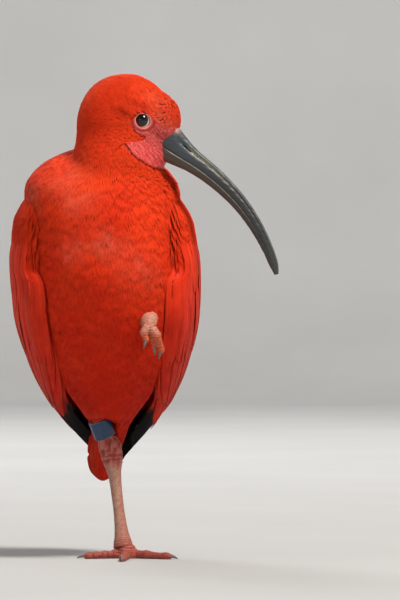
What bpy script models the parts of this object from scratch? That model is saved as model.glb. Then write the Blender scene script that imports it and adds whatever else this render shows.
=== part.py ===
"""A scarlet ibis resting on one leg, life size.

The bird stands on its right foot with its neck drawn in, its head turned to its left and its left foot
drawn up into the belly feathers. X is across the bird (+X is its left), -Y is the way its breast faces
and Z is up. The origin is on the ground, at the middle of the standing foot's sole.

The head, neck and torso come from one smooth field that is parted by two thin cuts. The folded wings lie
on an outer shell that is given by the bird's width and depth at each height.
"""

import math

import bmesh
import bpy
import numpy as np
from mathutils import Matrix, Vector

MM = 0.001
GAP = 0.0003  # between pieces that touch
SOLVERS = ("MANIFOLD", "EXACT")  # the second is used where the first leaves an edge that isn't clean

# The body turns a little to the bird's left about its own upright axis, and its top leans to its right.
BODY_YAW = math.radians(1.5)
BODY_LEAN = -0.038
LEAN_FROM = 195 * MM  # height where the lean moves nothing
BODY_PLACE = np.array([-17.0, -24.0, 0.0]) * MM

# Torso without its wings, in the body's own frame: height, half width, front, back, in mm.
TORSO = (
    (92, 8, 66, 86),
    (101, 12, 50, 93),
    (114, 17, 28, 97),
    (124, 24, 10, 98),
    (136, 33, -8, 98),
    (150, 43, -22, 98),
    (170, 55, -37, 97),
    (213, 67, -57, 91),
    (248, 69, -65, 81),
    (286, 67, -62, 68),
    (316, 67, -50, 57),
    (330, 60, -36, 52),
    (340, 49, -22, 46),
    (348, 33, -8, 37),
    (353, 17, 4, 26),
)

# Outer shell of the folded wings: height, half width, front, back, in mm.
WING_SHELL = (
    (64, 9, 106, 129),
    (76, 16.5, 101, 128),
    (91, 27.5, 78, 126),
    (101, 35.5, 55, 124),
    (119, 47.5, 20, 121),
    (136, 58.3, -10, 117),
    (170, 72.6, -41, 111),
    (213, 81.8, -61, 103),
    (248, 82.8, -68, 93),
    (286, 79.2, -64, 81),
    (316, 67.8, -54, 66),
    (338, 49.5, -36, 50),
)
# Where the folded wing begins and ends round the body, in degrees from the breast: height, front, back.
WING_REACH = (
    (64, 135, 168),
    (76, 128, 168),
    (91, 112, 170),
    (101, 98, 172),
    (119, 72, 173),
    (136, 54, 173),
    (170, 44, 171),
    (213, 43, 164),
    (236, 45, 156),
    (248, 51, 151),
    (286, 50, 134),
    (305, 54, 122),
    (325, 68, 104),
)

# Head: its centre and the way it points, in the ground's frame.
HEAD_CENTRE = np.array([-2.0, -32.0, 378.0]) * MM
HEAD_YAW = math.radians(75)  # from straight ahead to the bird's left
HEAD_PITCH = math.radians(-28)

# Leg that stands, foot joint to the feathers, in the ground's frame.
HOCK = np.array([-14.0, 15.0, 90.0]) * MM
KNEE_END = np.array([-32.0, 0.0, 136.0]) * MM
SHANK_END = np.array([-4.5, 1.5, 14.0]) * MM
LEG_CUT = 13 * MM  # height of the cut between shank and foot
TIBIA_RADIUS = 6.2 * MM

# Bill, seen from the side, in the head's frame. Each table runs from root (0) to tip (1).
BILL_ROOT = np.array([44.0, 0.0, -1.5]) * MM
BILL_LENGTH = 151 * MM
BILL_SLOPES = ((0, 13), (0.08, 8), (0.16, 6), (0.24, 8), (0.33, 11.5), (0.46, 17), (0.6, 25), (0.73, 32))
BILL_SLOPES += ((0.84, 37), (1, 48))
BILL_DEPTHS = ((0, 32), (0.06, 27.5), (0.13, 22.6), (0.19, 19.4), (0.32, 16.6), (0.55, 13.4), (0.8, 10))
BILL_DEPTHS += ((0.94, 7.6), (1, 3.6))
BILL_WIDTHS = ((0, 20), (0.08, 17), (0.2, 12.5), (0.45, 9), (0.8, 6.8), (0.94, 5.4), (1, 2.8))
UPPER_SHARE = 0.62  # of the bill's depth
BILL_SUNK = 9 * MM  # how far the bill's root reaches into the face

EYE_PLACE = np.array([20.0, 17.8, 6.2]) * MM  # in the head's frame, on its left
EYE_RADIUS = 7.0 * MM
EYE_OUT = np.array([0.24, 0.96, 0.1])
LID_RADIUS, LID_THICKNESS, LID_OUT = 6.9 * MM, 1.3 * MM, 3.2 * MM
SOCKET_RADIUS = 6.6 * MM

SCARLET = (0.85, 0.07, 0.015)
MATERIALS = {
    "plumage": (SCARLET, 0.75, 0.0),
    "bare_skin": ((0.78, 0.33, 0.27), 0.6, 0.0),
    "bill_horn": ((0.07, 0.075, 0.07), 0.4, 0.0),
    "claw_horn": ((0.12, 0.11, 0.09), 0.4, 0.0),
    "eye": ((0.012, 0.008, 0.006), 0.05, 0.0),
    "band_plastic": ((0.03, 0.10, 0.28), 0.35, 0.0),
}


def clear_scene():
    for thing in list(bpy.data.objects):
        bpy.data.objects.remove(thing)


def material(name):
    """The named finish, made on its first use."""
    found = bpy.data.materials.get(name)
    if found:
        return found
    colour, roughness, metallic = MATERIALS[name]
    found = bpy.data.materials.new(name)
    found.use_nodes = True
    shader = found.node_tree.nodes["Principled BSDF"]
    shader.inputs["Base Color"].default_value = (*colour, 1)
    shader.inputs["Roughness"].default_value = roughness
    shader.inputs["Metallic"].default_value = metallic
    return found


# Points and curves


def unit(vector):
    return vector / np.linalg.norm(vector, axis=-1, keepdims=True)


def smooth_curve(x, stations, column):
    """A curve through the stations that doesn't overshoot them, read at x."""
    table = np.array(stations, float)
    xs, ys = table[:, 0], table[:, column]
    step = np.diff(xs)
    slope = np.diff(ys) / step
    tangent = np.concatenate([slope[:1], np.zeros(len(xs) - 2), slope[-1:]])
    before, after = slope[:-1], slope[1:]
    agree = before * after > 0
    heavy, light = 2 * step[1:] + step[:-1], step[1:] + 2 * step[:-1]
    mean = (heavy + light)[agree] / (heavy[agree] / before[agree] + light[agree] / after[agree])
    tangent[1:-1][agree] = mean
    x = np.clip(np.asarray(x, float), xs[0], xs[-1])
    i = np.clip(np.searchsorted(xs, x) - 1, 0, len(xs) - 2)
    t = (x - xs[i]) / step[i]
    rise = step[i] * (tangent[i] * t * (1 - t) ** 2 - tangent[i + 1] * t * t * (1 - t))
    return ys[i] + (ys[i + 1] - ys[i]) * t * t * (3 - 2 * t) + rise


def body_turn():
    c, s = math.cos(BODY_YAW), math.sin(BODY_YAW)
    return np.array([[c, -s, 0], [s, c, 0], [0, 0, 1]])


def from_body(points):
    """Points of the body's own frame, in the ground's frame."""
    placed = np.asarray(points) @ body_turn().T + BODY_PLACE
    placed[..., 0] += BODY_LEAN * (placed[..., 2] - LEAN_FROM)
    return placed


def to_body(points):
    upright = points.copy()
    upright[..., 0] -= BODY_LEAN * (points[..., 2] - LEAN_FROM)
    return (upright - BODY_PLACE) @ body_turn()


def head_axes():
    """The head's forward, left and up directions, as rows."""
    level = np.array([math.sin(HEAD_YAW), -math.cos(HEAD_YAW), 0])
    up = np.array([0, 0, 1.0])
    forward = level * math.cos(HEAD_PITCH) + up * math.sin(HEAD_PITCH)
    left = np.cross(up, level)
    return np.array([forward, left, np.cross(forward, left)])


def from_head(points):
    return np.asarray(points) @ head_axes() + HEAD_CENTRE


def to_head(points):
    return (points - HEAD_CENTRE) @ head_axes().T


# Fields: negative inside a form, and about the distance from it outside


def ball(points, centre, radii):
    away = (points - np.array(centre) * MM) / (np.array(radii) * MM)
    return (np.linalg.norm(away, axis=1) - 1) * min(radii) * MM


def taper(points, start, end, radius, end_radius):
    """A round bar between two points in mm, with its two radii in mm."""
    start, end = np.array(start) * MM, np.array(end) * MM
    along = np.clip((points - start) @ (end - start) / np.sum((end - start) ** 2), 0, 1)
    thick = (radius + (end_radius - radius) * along) * MM
    return np.linalg.norm(points - start - along[:, None] * (end - start), axis=1) - thick


def blend(first, second, reach):
    """Both forms, joined by a fillet of about this reach in mm."""
    reach = reach * MM
    share = np.clip(0.5 + 0.5 * (second - first) / reach, 0, 1)
    return second + (first - second) * share - reach * share * (1 - share)


def torso_field(points):
    own = to_body(points)
    height = own[:, 2] / MM
    half, front, back = (smooth_curve(height, TORSO, column) * MM for column in (1, 2, 3))
    depth = (back - front) / 2
    ring = np.sqrt((own[:, 0] / half) ** 2 + ((own[:, 1] - (front + back) / 2) / depth) ** 2)
    side = (ring - 1) * np.minimum(half, depth)
    ends = np.maximum(height - TORSO[-1][0], TORSO[0][0] - height) * MM
    return np.maximum(side, ends)


def neck_field(points):
    lower = taper(points, (-15, -34, 290), (-10, -32, 334), 48, 35.5)
    upper = taper(points, (-10, -32, 334), (-8, -30, 366), 35.5, 33)
    return blend(lower, upper, 12)


def head_field(points):
    own = to_head(points)
    skull = ball(own, (0, 0, -2), (39.5, 29, 38))
    brow = taper(own, (9, 0, 8), (32, 0, 7.5), 26, 15.5)
    forehead = taper(own, (8, 0, 8.5), (26.5, 0, 17.5), 27, 15.5)
    jaw = ball(own, (26, 0, -13), (25, 15, 15.5))
    return blend(blend(blend(skull, brow, 6), forehead, 6), jaw, 7)


def thigh_field(points):
    """The feathered thigh that runs down to the standing leg, and the one folded behind the other foot."""
    standing = taper(points, (-20, 2, 172), (-27.5, 4, 127), 34, 9)
    folded = taper(points, (13, -12, 194), (6, 22, 160), 33, 22)
    return blend(standing, folded, 16)


def tail_root_field(points):
    own = to_body(points)
    return taper(own, (0, 62, 150), (-8, 88, 112), 30, 11)


def body_field(points):
    trunk = blend(torso_field(points), thigh_field(points), 12)
    trunk = blend(trunk, tail_root_field(points), 12)
    return blend(blend(trunk, neck_field(points), 9), head_field(points), 9)


def surface_net(field, low, high, cell):
    """A closed quad mesh where the field is zero, with one point in each cell that the surface crosses."""
    counts = [int(math.ceil((top - bottom) / cell)) + 1 for bottom, top in zip(low, high)]
    axes = [bottom + cell * np.arange(count) for bottom, count in zip(low, counts)]
    corners = np.stack(np.meshgrid(*axes, indexing="ij"), -1)
    value = field(corners.reshape(-1, 3)).reshape(counts)
    cells = [count - 1 for count in counts]
    total, hits = np.zeros(cells + [3]), np.zeros(cells)
    quads = []
    for axis in range(3):
        u, v = (axis + 1) % 3, (axis + 2) % 3
        near = np.take(value, range(counts[axis] - 1), axis)
        far = np.take(value, range(1, counts[axis]), axis)
        index = np.argwhere((near < 0) != (far < 0))
        a, b = near[tuple(index.T)], far[tuple(index.T)]
        crossing = corners[tuple(index.T)].copy()
        crossing[:, axis] += cell * a / (a - b)
        ring = []
        for du, dv in ((0, 0), (1, 0), (1, 1), (0, 1)):
            touching = index.copy()
            touching[:, u] -= du
            touching[:, v] -= dv
            np.add.at(total, tuple(touching.T), crossing)
            np.add.at(hits, tuple(touching.T), 1)
            ring.append(np.ravel_multi_index(tuple(touching.T), cells))
        quad = np.stack(ring, 1)
        quad[a > 0] = quad[a > 0][:, ::-1]
        quads.append(quad)
    used = np.flatnonzero(hits.ravel())
    number = np.full(hits.size, -1)
    number[used] = np.arange(len(used))
    points = total.reshape(-1, 3)[used] / hits.ravel()[used][:, None]
    return onto_surface(field, points), number[np.concatenate(quads)].tolist()


def onto_surface(field, points, rounds=4):
    """The points moved along the field's slope to where it is zero."""
    probe = 0.2 * MM
    for _ in range(rounds):
        rise = [field(points + step) - field(points - step) for step in np.eye(3) * probe]
        slope = np.stack(rise, 1) / (2 * probe)
        size = np.maximum((slope**2).sum(1), 1e-4)
        points = points - np.clip(field(points) / size, -MM, MM)[:, None] * slope
    return points


# Meshes and Booleans


def add_object(name, points, faces, finish):
    mesh = bpy.data.meshes.new(name)
    mesh.from_pydata([tuple(map(float, p)) for p in points], [], [tuple(map(int, f)) for f in faces])
    mesh.materials.append(material(finish))
    obj = bpy.data.objects.new(name, mesh)
    bpy.context.scene.collection.objects.link(obj)
    return obj


def edit(obj, change):
    """Runs a change on the object's mesh."""
    work = bmesh.new()
    work.from_mesh(obj.data)
    change(work)
    work.to_mesh(obj.data)
    work.free()
    obj.data.update()


def keep_largest(obj):
    """Drops all but the largest closed surface."""

    def change(work):
        work.verts.ensure_lookup_table()
        seen, parts = set(), []
        for start in work.verts:
            if start in seen:
                continue
            part, edge = {start}, [start]
            while edge:
                for link in edge.pop().link_edges:
                    for vert in link.verts:
                        if vert not in part:
                            part.add(vert)
                            edge.append(vert)
            seen |= part
            parts.append(part)
        if len(parts) < 2:
            return

        def volume(part):
            total = 0
            for face in {face for vert in part for face in vert.link_faces}:
                ring = [vert.co for vert in face.verts]
                total += sum(ring[0].dot(ring[i].cross(ring[i + 1])) for i in range(1, len(ring) - 1))
            return abs(total)

        largest = max(parts, key=volume)
        bmesh.ops.delete(work, geom=[vert for vert in work.verts if vert not in largest], context="VERTS")

    edit(obj, change)


def is_closed(mesh):
    work = bmesh.new()
    work.from_mesh(mesh)
    closed = all(edge.is_manifold for edge in work.edges)
    work.free()
    return closed


# Ways to part faces into triangles: for four corners and for more.
SPLITS = (("BEAUTY", "BEAUTY"), ("FIXED", "EAR_CLIP"), ("ALTERNATE", "EAR_CLIP"), ("LONG_EDGE", "BEAUTY"))


def in_triangles(mesh, merge, split):
    """A copy of the mesh in triangles, with points closer than this many mm made one."""
    copy = mesh.copy()
    work = bmesh.new()
    work.from_mesh(copy)
    if merge:
        bmesh.ops.remove_doubles(work, verts=work.verts, dist=merge * MM)
        bmesh.ops.dissolve_degenerate(work, edges=work.edges, dist=merge * MM)
    bmesh.ops.triangulate(work, faces=work.faces, quad_method=split[0], ngon_method=split[1])
    work.to_mesh(copy)
    work.free()
    return copy


def tidy(obj):
    """Every face becomes triangles, and points that a Boolean left very close are made one, as far as that
    keeps the surface closed."""
    for merge in (0.02, 0.01, 0.004, 0.001, 0):
        for split in SPLITS:
            mesh = in_triangles(obj.data, merge, split)
            if is_closed(mesh):
                obj.data = mesh
                return


def combine(obj, others, operation):
    """Applies one Boolean of the others on the object, and removes them."""
    group = bpy.data.collections.new("operands")
    bpy.context.scene.collection.children.link(group)
    for other in others:
        group.objects.link(other)
    step = obj.modifiers.new("combine", "BOOLEAN")
    step.operation = operation
    step.operand_type = "COLLECTION"
    step.collection = group
    for solver in SOLVERS:
        step.solver = solver
        graph = bpy.context.evaluated_depsgraph_get()
        made = bpy.data.meshes.new_from_object(obj.evaluated_get(graph), depsgraph=graph)
        if any(is_closed(in_triangles(made, 0, split)) for split in SPLITS):
            break
    obj.modifiers.clear()
    obj.data = made
    for other in others:
        bpy.data.objects.remove(other)
    bpy.data.collections.remove(group)
    keep_largest(obj)
    return obj


def fuse(obj, pieces):
    return combine(obj, pieces, "UNION")


def grown(obj, gap=GAP):
    """A copy of the object with its surface moved out by the gap."""
    copy = bpy.data.objects.new(obj.name + "_grown", obj.data.copy())
    bpy.context.scene.collection.objects.link(copy)

    def change(work):
        work.normal_update()
        moves = []
        for vert in work.verts:
            normals = np.array([face.normal for face in vert.link_faces if face.calc_area() > 1e-10])
            if not len(normals):
                normals = np.array([vert.normal])
            move = np.linalg.pinv(normals, rcond=0.15) @ np.full(len(normals), gap)
            moves.append(move * min(1, 3 * gap / max(np.linalg.norm(move), 1e-9)))
        for vert, move in zip(work.verts, moves):
            vert.co += Vector(move)

    edit(copy, change)
    return copy


def carve(obj, *neighbours, gap=GAP):
    """Cuts the object clear of its neighbours."""
    return combine(obj, [grown(other, gap) for other in neighbours], "DIFFERENCE")


def cut_by_plane(obj, point, normal):
    """Keeps what lies behind the plane, and closes the cut with a flat face."""

    def change(work):
        result = bmesh.ops.bisect_plane(
            work,
            geom=work.verts[:] + work.edges[:] + work.faces[:],
            dist=1e-6,
            plane_co=Vector(point),
            plane_no=Vector(normal),
            clear_outer=True,
        )
        rim = [item for item in result["geom_cut"] if isinstance(item, bmesh.types.BMEdge)]
        bmesh.ops.holes_fill(work, edges=rim, sides=0)
        bmesh.ops.triangulate(work, faces=[face for face in work.faces if len(face.verts) > 4])

    edit(obj, change)
    return obj


def face_out(obj):
    edit(obj, lambda work: bmesh.ops.recalc_face_normals(work, faces=work.faces))
    return obj


def loft(name, rings, finish, closed_ends=True):
    """A closed tube over rings of the same number of points, each in order round the tube's own direction."""
    rings = np.array(rings)
    count, sides = rings.shape[:2]
    faces = []
    for i in range(count - 1):
        for j in range(sides):
            k = (j + 1) % sides
            a, b, c, d = i * sides + j, i * sides + k, (i + 1) * sides + k, (i + 1) * sides + j
            faces += [(a, b, c), (a, c, d)]
    points = list(rings.reshape(-1, 3))
    if closed_ends:
        for ring, order in ((0, -1), (count - 1, 1)):
            middle = len(points)
            points.append(rings[ring].mean(0))
            for j in range(sides):
                a, b = ring * sides + j, ring * sides + (j + 1) % sides
                faces.append((a, b, middle)[::order])
    return face_out(add_object(name, points, faces, finish))


def path_frames(path, side_hint):
    """Direction, side and up at each point of a path. The side stays near the hint."""
    path = np.asarray(path, float)
    along = unit(np.gradient(path, axis=0))
    up = unit(np.cross(side_hint, along))
    return along, np.cross(along, up), up


def tube(name, path, radii, finish, sides=8, side_hint=(1, 0, 0), flat=1.0):
    """A round bar along the path. flat is its depth as a share of its width."""
    _, side, up = path_frames(path, np.array(side_hint, float))
    turn = 2 * np.pi * (np.arange(sides) + 0.5) / sides
    rings = [
        p + r * (np.cos(turn)[:, None] * s + flat * np.sin(turn)[:, None] * u)
        for p, r, s, u in zip(np.asarray(path), radii, side, up)
    ]
    return loft(name, rings, finish)


# Head, neck and torso


BODY_LOW, BODY_HIGH = np.array([-100, -115, 84]) * MM, np.array([72, 92, 432]) * MM
NECK_CUT = (np.array([-12.0, -27.0, 339.0]) * MM, unit(np.array([0.12, -0.527, 0.841])))
BODY_CELL = 11 * MM  # size of the net's cells on the torso and neck


def head_cut():
    """A point and the upward normal of the slanting cut below the skull, from nape to chin."""
    nape, chin = from_head(np.array([[-40, 0, -12], [44, 0, -32]]) * MM)
    return (nape + chin) / 2, np.cross(unit(chin - nape), head_axes()[1])


def body_piece(name, cell, cuts):
    """The part of the whole body that lies behind each cut, given as a point and the normal to leave out."""

    def field(points):
        value = body_field(points)
        for point, normal in cuts:
            value = np.maximum(value, (points - point) @ normal - 1.6 * cell)
        return value

    points, faces = surface_net(field, BODY_LOW, BODY_HIGH, cell)
    piece = add_object(name, points, faces, "plumage")
    for point, normal in cuts:
        cut_by_plane(piece, point - normal * GAP / 2, normal)
    return piece


def make_torso():
    point, normal = NECK_CUT
    return body_piece("torso", BODY_CELL, [(point, normal)])


def make_neck():
    point, normal = NECK_CUT
    chin, up = head_cut()
    return body_piece("neck", BODY_CELL, [(point, -normal), (chin, up)])


def make_head():
    point, normal = NECK_CUT
    chin, up = head_cut()
    head = body_piece("head", 6 * MM, [(point, -normal), (chin, -up)])
    combine(head, [make_socket(side) for side in (-1, 1)], "DIFFERENCE")
    return fuse(head, [make_lid(side) for side in (-1, 1)])


def eye_spot(side):
    """The eye's centre and the way it looks, in the ground's frame."""
    flip = np.array([1, side, 1])
    return from_head(EYE_PLACE * flip), unit(EYE_OUT * flip) @ head_axes()


def make_socket(side):
    """A cutter that opens the head round an eye."""
    centre, out = eye_spot(side)
    path = [centre + out * x * MM for x in (-5.0, 0.0, 4.0, 14.0)]
    radii = SOCKET_RADIUS * np.array([0.8, 1.0, 1.0, 1.5])
    return tube("socket", path, radii, "plumage", sides=15, side_hint=(0, 0, 1))


def make_lid(side):
    """The raised ring of bare skin round an eye."""
    centre, out = eye_spot(side)
    across = unit(np.cross(out, [0, 0, 1.0]))
    up = np.cross(across, out)
    rings = []
    around, round_lid = 15, 5
    for turn in 2 * np.pi * np.arange(around) / around:
        radial = math.cos(turn) * across + math.sin(turn) * up
        angle = 2 * np.pi * np.arange(round_lid) / round_lid
        middle = centre + radial * LID_RADIUS + out * LID_OUT
        rings.append([middle + LID_THICKNESS * (math.cos(a) * radial + math.sin(a) * out) for a in angle])
    rings = np.array(rings)
    faces = []
    for i in range(around):
        for j in range(round_lid):
            n, m = (i + 1) % around, (j + 1) % round_lid
            a, b, c, d = (p * round_lid + q for p, q in ((i, j), (i, m), (n, m), (n, j)))
            faces += [(a, b, c), (a, c, d)]
    return face_out(add_object("lid", rings.reshape(-1, 3), faces, "plumage"))


def make_eye(name, side):
    centre, out = eye_spot(side)
    turn = Vector((0, 0, 1)).rotation_difference(Vector(out)).to_matrix().to_4x4()
    mesh = bpy.data.meshes.new(name)
    work = bmesh.new()
    bmesh.ops.create_uvsphere(work, u_segments=14, v_segments=9, radius=EYE_RADIUS)
    bmesh.ops.transform(work, matrix=Matrix.Translation(centre) @ turn, verts=work.verts)
    work.to_mesh(mesh)
    work.free()
    mesh.materials.append(material("eye"))
    eye = bpy.data.objects.new(name, mesh)
    bpy.context.scene.collection.objects.link(eye)
    return eye


# Bill


def bill_line(count):
    """Middle points of the bill, the direction there and the share of its length, in the head's frame."""
    fine = 200
    share = np.linspace(0, 1, fine)
    slope = -np.radians(smooth_curve(share, BILL_SLOPES, 1))
    step = BILL_LENGTH / (fine - 1)
    x = BILL_ROOT[0] + np.concatenate([[0], np.cumsum(np.cos(slope[:-1]) * step)])
    z = BILL_ROOT[2] + np.concatenate([[0], np.cumsum(np.sin(slope[:-1]) * step)])
    shares = np.linspace(0, 1, count)
    x, z, slope = (np.interp(shares, share, values) for values in (x, z, slope))
    return np.stack([x, np.zeros(count), z], 1), slope, shares


def bill_rings(profile, count):
    """Rings of a half of the bill, in the ground's frame. The first ring is sunk in the face."""
    middle, slope, shares = bill_line(count)
    depth = smooth_curve(shares, BILL_DEPTHS, 1) * MM
    width = smooth_curve(shares, BILL_WIDTHS, 1) * MM / 2
    rings = []
    for i in range(count):
        along = np.array([math.cos(slope[i]), 0, math.sin(slope[i])])
        up = np.array([-math.sin(slope[i]), 0, math.cos(slope[i])])
        ring = [middle[i] + up * v * depth[i] + np.array([0, h * width[i], 0]) for h, v in profile]
        if i == 0:
            rings.append(from_head(np.array(ring) - along * BILL_SUNK))
        rings.append(from_head(np.array(ring)))
    return rings


def make_bill():
    top = UPPER_SHARE
    mouth = 0.5 - top  # height of the mouth line, as a share of the depth, from the middle line
    gap = 0.012
    side = [(1, mouth + gap), (0.97, mouth + 0.22), (0.84, mouth + 0.36), (0.66, mouth + 0.40)]
    side.append((0.62, mouth + 0.50))
    upper = side + [(0.36, 0.47), (0, 0.5)] + [(-h, v) for h, v in [(0.36, 0.47)] + side[::-1]]
    lower_side = [(0.95, mouth - gap), (0.88, -0.3), (0.5, -0.48)]
    lower = [(-h, v) for h, v in lower_side] + [(h, v) for h, v in lower_side[::-1]]
    pieces = []
    for name, profile in (("bill_upper", upper[::-1]), ("bill_lower", lower)):
        pieces.append(loft(name, bill_rings(profile, 13), "bill_horn"))
    cutters = [make_nostril(flank) for flank in (-1, 1)]
    combine(pieces[0], cutters, "DIFFERENCE")
    return pieces


# Along each nostril: the share of the bill's length, and places above and beside its middle line, in mm.
NOSTRIL = ((0.086, 6.9, 6.9), (0.1, 6.7, 6.0), (0.118, 6.2, 5.5), (0.136, 5.7, 5.2), (0.15, 5.3, 5.6))


def make_nostril(flank):
    """A cutter for the slit in the groove beside the ridge, near the bill's root."""
    middle, slope, shares = bill_line(60)
    path = []
    for share, up, out in NOSTRIL:
        at = [np.interp(share, shares, middle[:, k]) for k in (0, 2)]
        tilt = np.interp(share, shares, slope)
        rise = np.array([-math.sin(tilt), 0, math.cos(tilt)]) * up * MM
        path.append(from_head(np.array([at[0], flank * out * MM, at[1]]) + rise))
    return tube("nostril", path, np.array([0.5, 1.1, 1.3, 1.1, 0.5]) * MM, "bill_horn", sides=6)


# Feathers


def shell_point(share, height, lift=0.0):
    """A point of the left wing's shell, in the body's frame. share runs from the wing's front edge to its
    back edge, height is in mm, and lift is the distance outside the shell in mm."""
    share, height, lift = np.broadcast_arrays(*(np.asarray(v, float) for v in (share, height, lift)))

    def surface(share, height):
        front_edge, back_edge = (smooth_curve(height, WING_REACH, column) for column in (1, 2))
        angle = np.radians(front_edge + (back_edge - front_edge) * share)
        half, front, back = (smooth_curve(height, WING_SHELL, column) for column in (1, 2, 3))
        depth = (back - front) / 2
        return np.stack([half * np.sin(angle), (front + back) / 2 - depth * np.cos(angle), height], -1)

    here = surface(share, height)
    across = surface(share + 0.01, height) - surface(share - 0.01, height)
    down = surface(share, height - 2.0) - surface(share, height + 2.0)
    out = unit(np.cross(down, across))
    return (here + out * lift[..., None]) * MM


def vane(centre, normal, half_width, thickness, roll=0.0, bow=0.08):
    """A feather's vane as a closed plate: a raised middle, two edges that droop, and a rounded tip."""
    along = unit(np.gradient(centre, axis=0))
    across = unit(np.cross(normal, along))
    normal = np.cross(along, across)
    tilt = across * math.cos(roll) + normal * math.sin(roll)
    lift = np.cross(along, tilt)
    rings = []
    for c, a, n, w, t in zip(centre, tilt, lift, half_width, thickness):
        droop = n * bow * w
        edge = n * t * 0.45
        left, right = c - a * w - droop, c + a * w - droop
        rings.append([left - edge, right - edge, right + edge, c + n * t, left + edge])
    return rings


VANE_ROLL = math.radians(3.0)  # the front edge of each feather lies over the one before it
VANE_STEPS = np.array([0, 0.45, 0.88, 1.0])  # places along a vane, from root to tip
VANE_SHAPE = np.array([0.8, 1.0, 0.78, 0.22])  # half width at those places


def wing_vane(share, root, tip, half_width, lift_root, lift_tip, lean=0.0, thickness=0.95):
    """A closed vane on the wing's shell. root and tip are heights in mm. lean moves the tip backwards."""
    t = VANE_STEPS
    height = root + (tip - root) * t
    shares = share + lean * t
    lift = lift_root + (lift_tip - lift_root) * t
    centre = shell_point(shares, height, lift)
    normal = unit(shell_point(shares, height, lift + 1) - centre)
    thick = thickness * MM * np.array([1, 1, 0.9, 0.6])
    return loft("vane", vane(centre, normal, VANE_SHAPE * half_width * MM, thick, VANE_ROLL), "plumage")


# Rows of wing feathers: count, first and last share, root and tip heights at the front and at the back,
# half width, lift at root and tip, in mm.
WING_ROWS = (
    dict(count=4, shares=(0.18, 0.62), root=(170, 170), tip=(92, 76), half=9.0, lift=(-7.5, -5.0)),
    dict(count=7, shares=(0.10, 0.90), root=(196, 196), tip=(126, 108), half=12.5, lift=(-6.0, -2.8)),
    dict(count=7, shares=(0.09, 0.91), root=(236, 232), tip=(178, 168), half=13.0, lift=(-5.0, -1.2)),
    dict(count=6, shares=(0.13, 0.88), root=(266, 268), tip=(224, 216), half=13.5, lift=(-3.6, 0.0)),
)


def make_wing_core():
    """The smooth body of the left wing, from its wrist down to the flight feathers' roots."""
    shares = np.array([0, 0.035, 0.1, 0.25, 0.4, 0.55, 0.7, 0.85, 0.97, 1.0])
    heights = np.array([327, 321, 308, 288, 262, 236, 205, 172, 150.0])
    edge = np.array([-8.0, -3.0, -0.6, 0, 0, 0, 0, 0, -1.0, -4.0])
    end = np.array([-10, -4.0, -0.8, 0, 0, 0, 0, -0.5, -5.0])
    drop = np.interp(heights, [150, 180, 200, 236, 262, 330], [-6.5, -5.2, -4.0, -3.2, -0.8, 0])
    share, height = np.meshgrid(shares, heights)
    lift = drop[:, None] + edge[None] + end[:, None]
    outer = shell_point(share, height, lift)
    inner = shell_point(share, height, np.full_like(share, -24.0))
    rows, columns = share.shape
    faces = []
    for i in range(rows - 1):
        for j in range(columns - 1):
            a, b, c, d = (p * columns + q for p, q in ((i, j), (i, j + 1), (i + 1, j + 1), (i + 1, j)))
            for face in ((a, b, c), (a, c, d)):
                faces.append(face)
                faces.append(tuple(k + rows * columns for k in face[::-1]))
    rim = [j for j in range(columns)] + [i * columns + columns - 1 for i in range(1, rows)]
    rim += [(rows - 1) * columns + j for j in range(columns - 2, -1, -1)]
    rim += [i * columns for i in range(rows - 2, 0, -1)]
    for a, b in zip(rim, rim[1:] + rim[:1]):
        faces += [(b, a, a + rows * columns), (b, a + rows * columns, b + rows * columns)]
    points = np.concatenate([outer.reshape(-1, 3), inner.reshape(-1, 3)])
    return face_out(add_object("wing", points, faces, "plumage"))


def put_on_body(obj, name, side):
    """A copy of a piece of the left wing, moved to the ground's frame and mirrored for the right side."""
    copy = bpy.data.objects.new(name, obj.data.copy())
    bpy.context.scene.collection.objects.link(copy)

    def place(work):
        for vert in work.verts:
            vert.co = Vector(from_body(np.array(vert.co) * (side, 1, 1)))
        if side < 0:
            bmesh.ops.reverse_faces(work, faces=work.faces)

    edit(copy, place)
    return copy


def make_wings(torso):
    wing = make_wing_core()
    cores = [put_on_body(wing, "core", side) for side in (1, -1)]
    carve(torso, *cores)
    for core in cores:
        bpy.data.objects.remove(core)
    vanes = []
    for row in WING_ROWS:
        for share in np.linspace(0, 1, row["count"]):
            front, back = row["shares"]
            at = front + (back - front) * share
            root, tip = (np.interp(share, [0, 1], row[key]) for key in ("root", "tip"))
            sway = math.sin(2.4 * len(vanes))  # no two feathers are quite alike
            vanes.append(wing_vane(at, root, tip + 1.5 * sway, row["half"] * (1 + 0.03 * sway), *row["lift"]))
    fuse(wing, vanes)
    for name, side in (("wing_left", 1), ("wing_right", -1)):
        put_on_body(wing, name, side)
    bpy.data.objects.remove(wing)


TAIL_ROOT, TAIL_TIP = np.array([-2, 82, 140]) * MM, np.array([-8.5, 112.5, 64]) * MM
TAIL_FEATHERS = 8
TAIL_HALF_WIDTH = 9.0 * MM
TAIL_HALF_SPREAD = math.radians(3.6)


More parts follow.
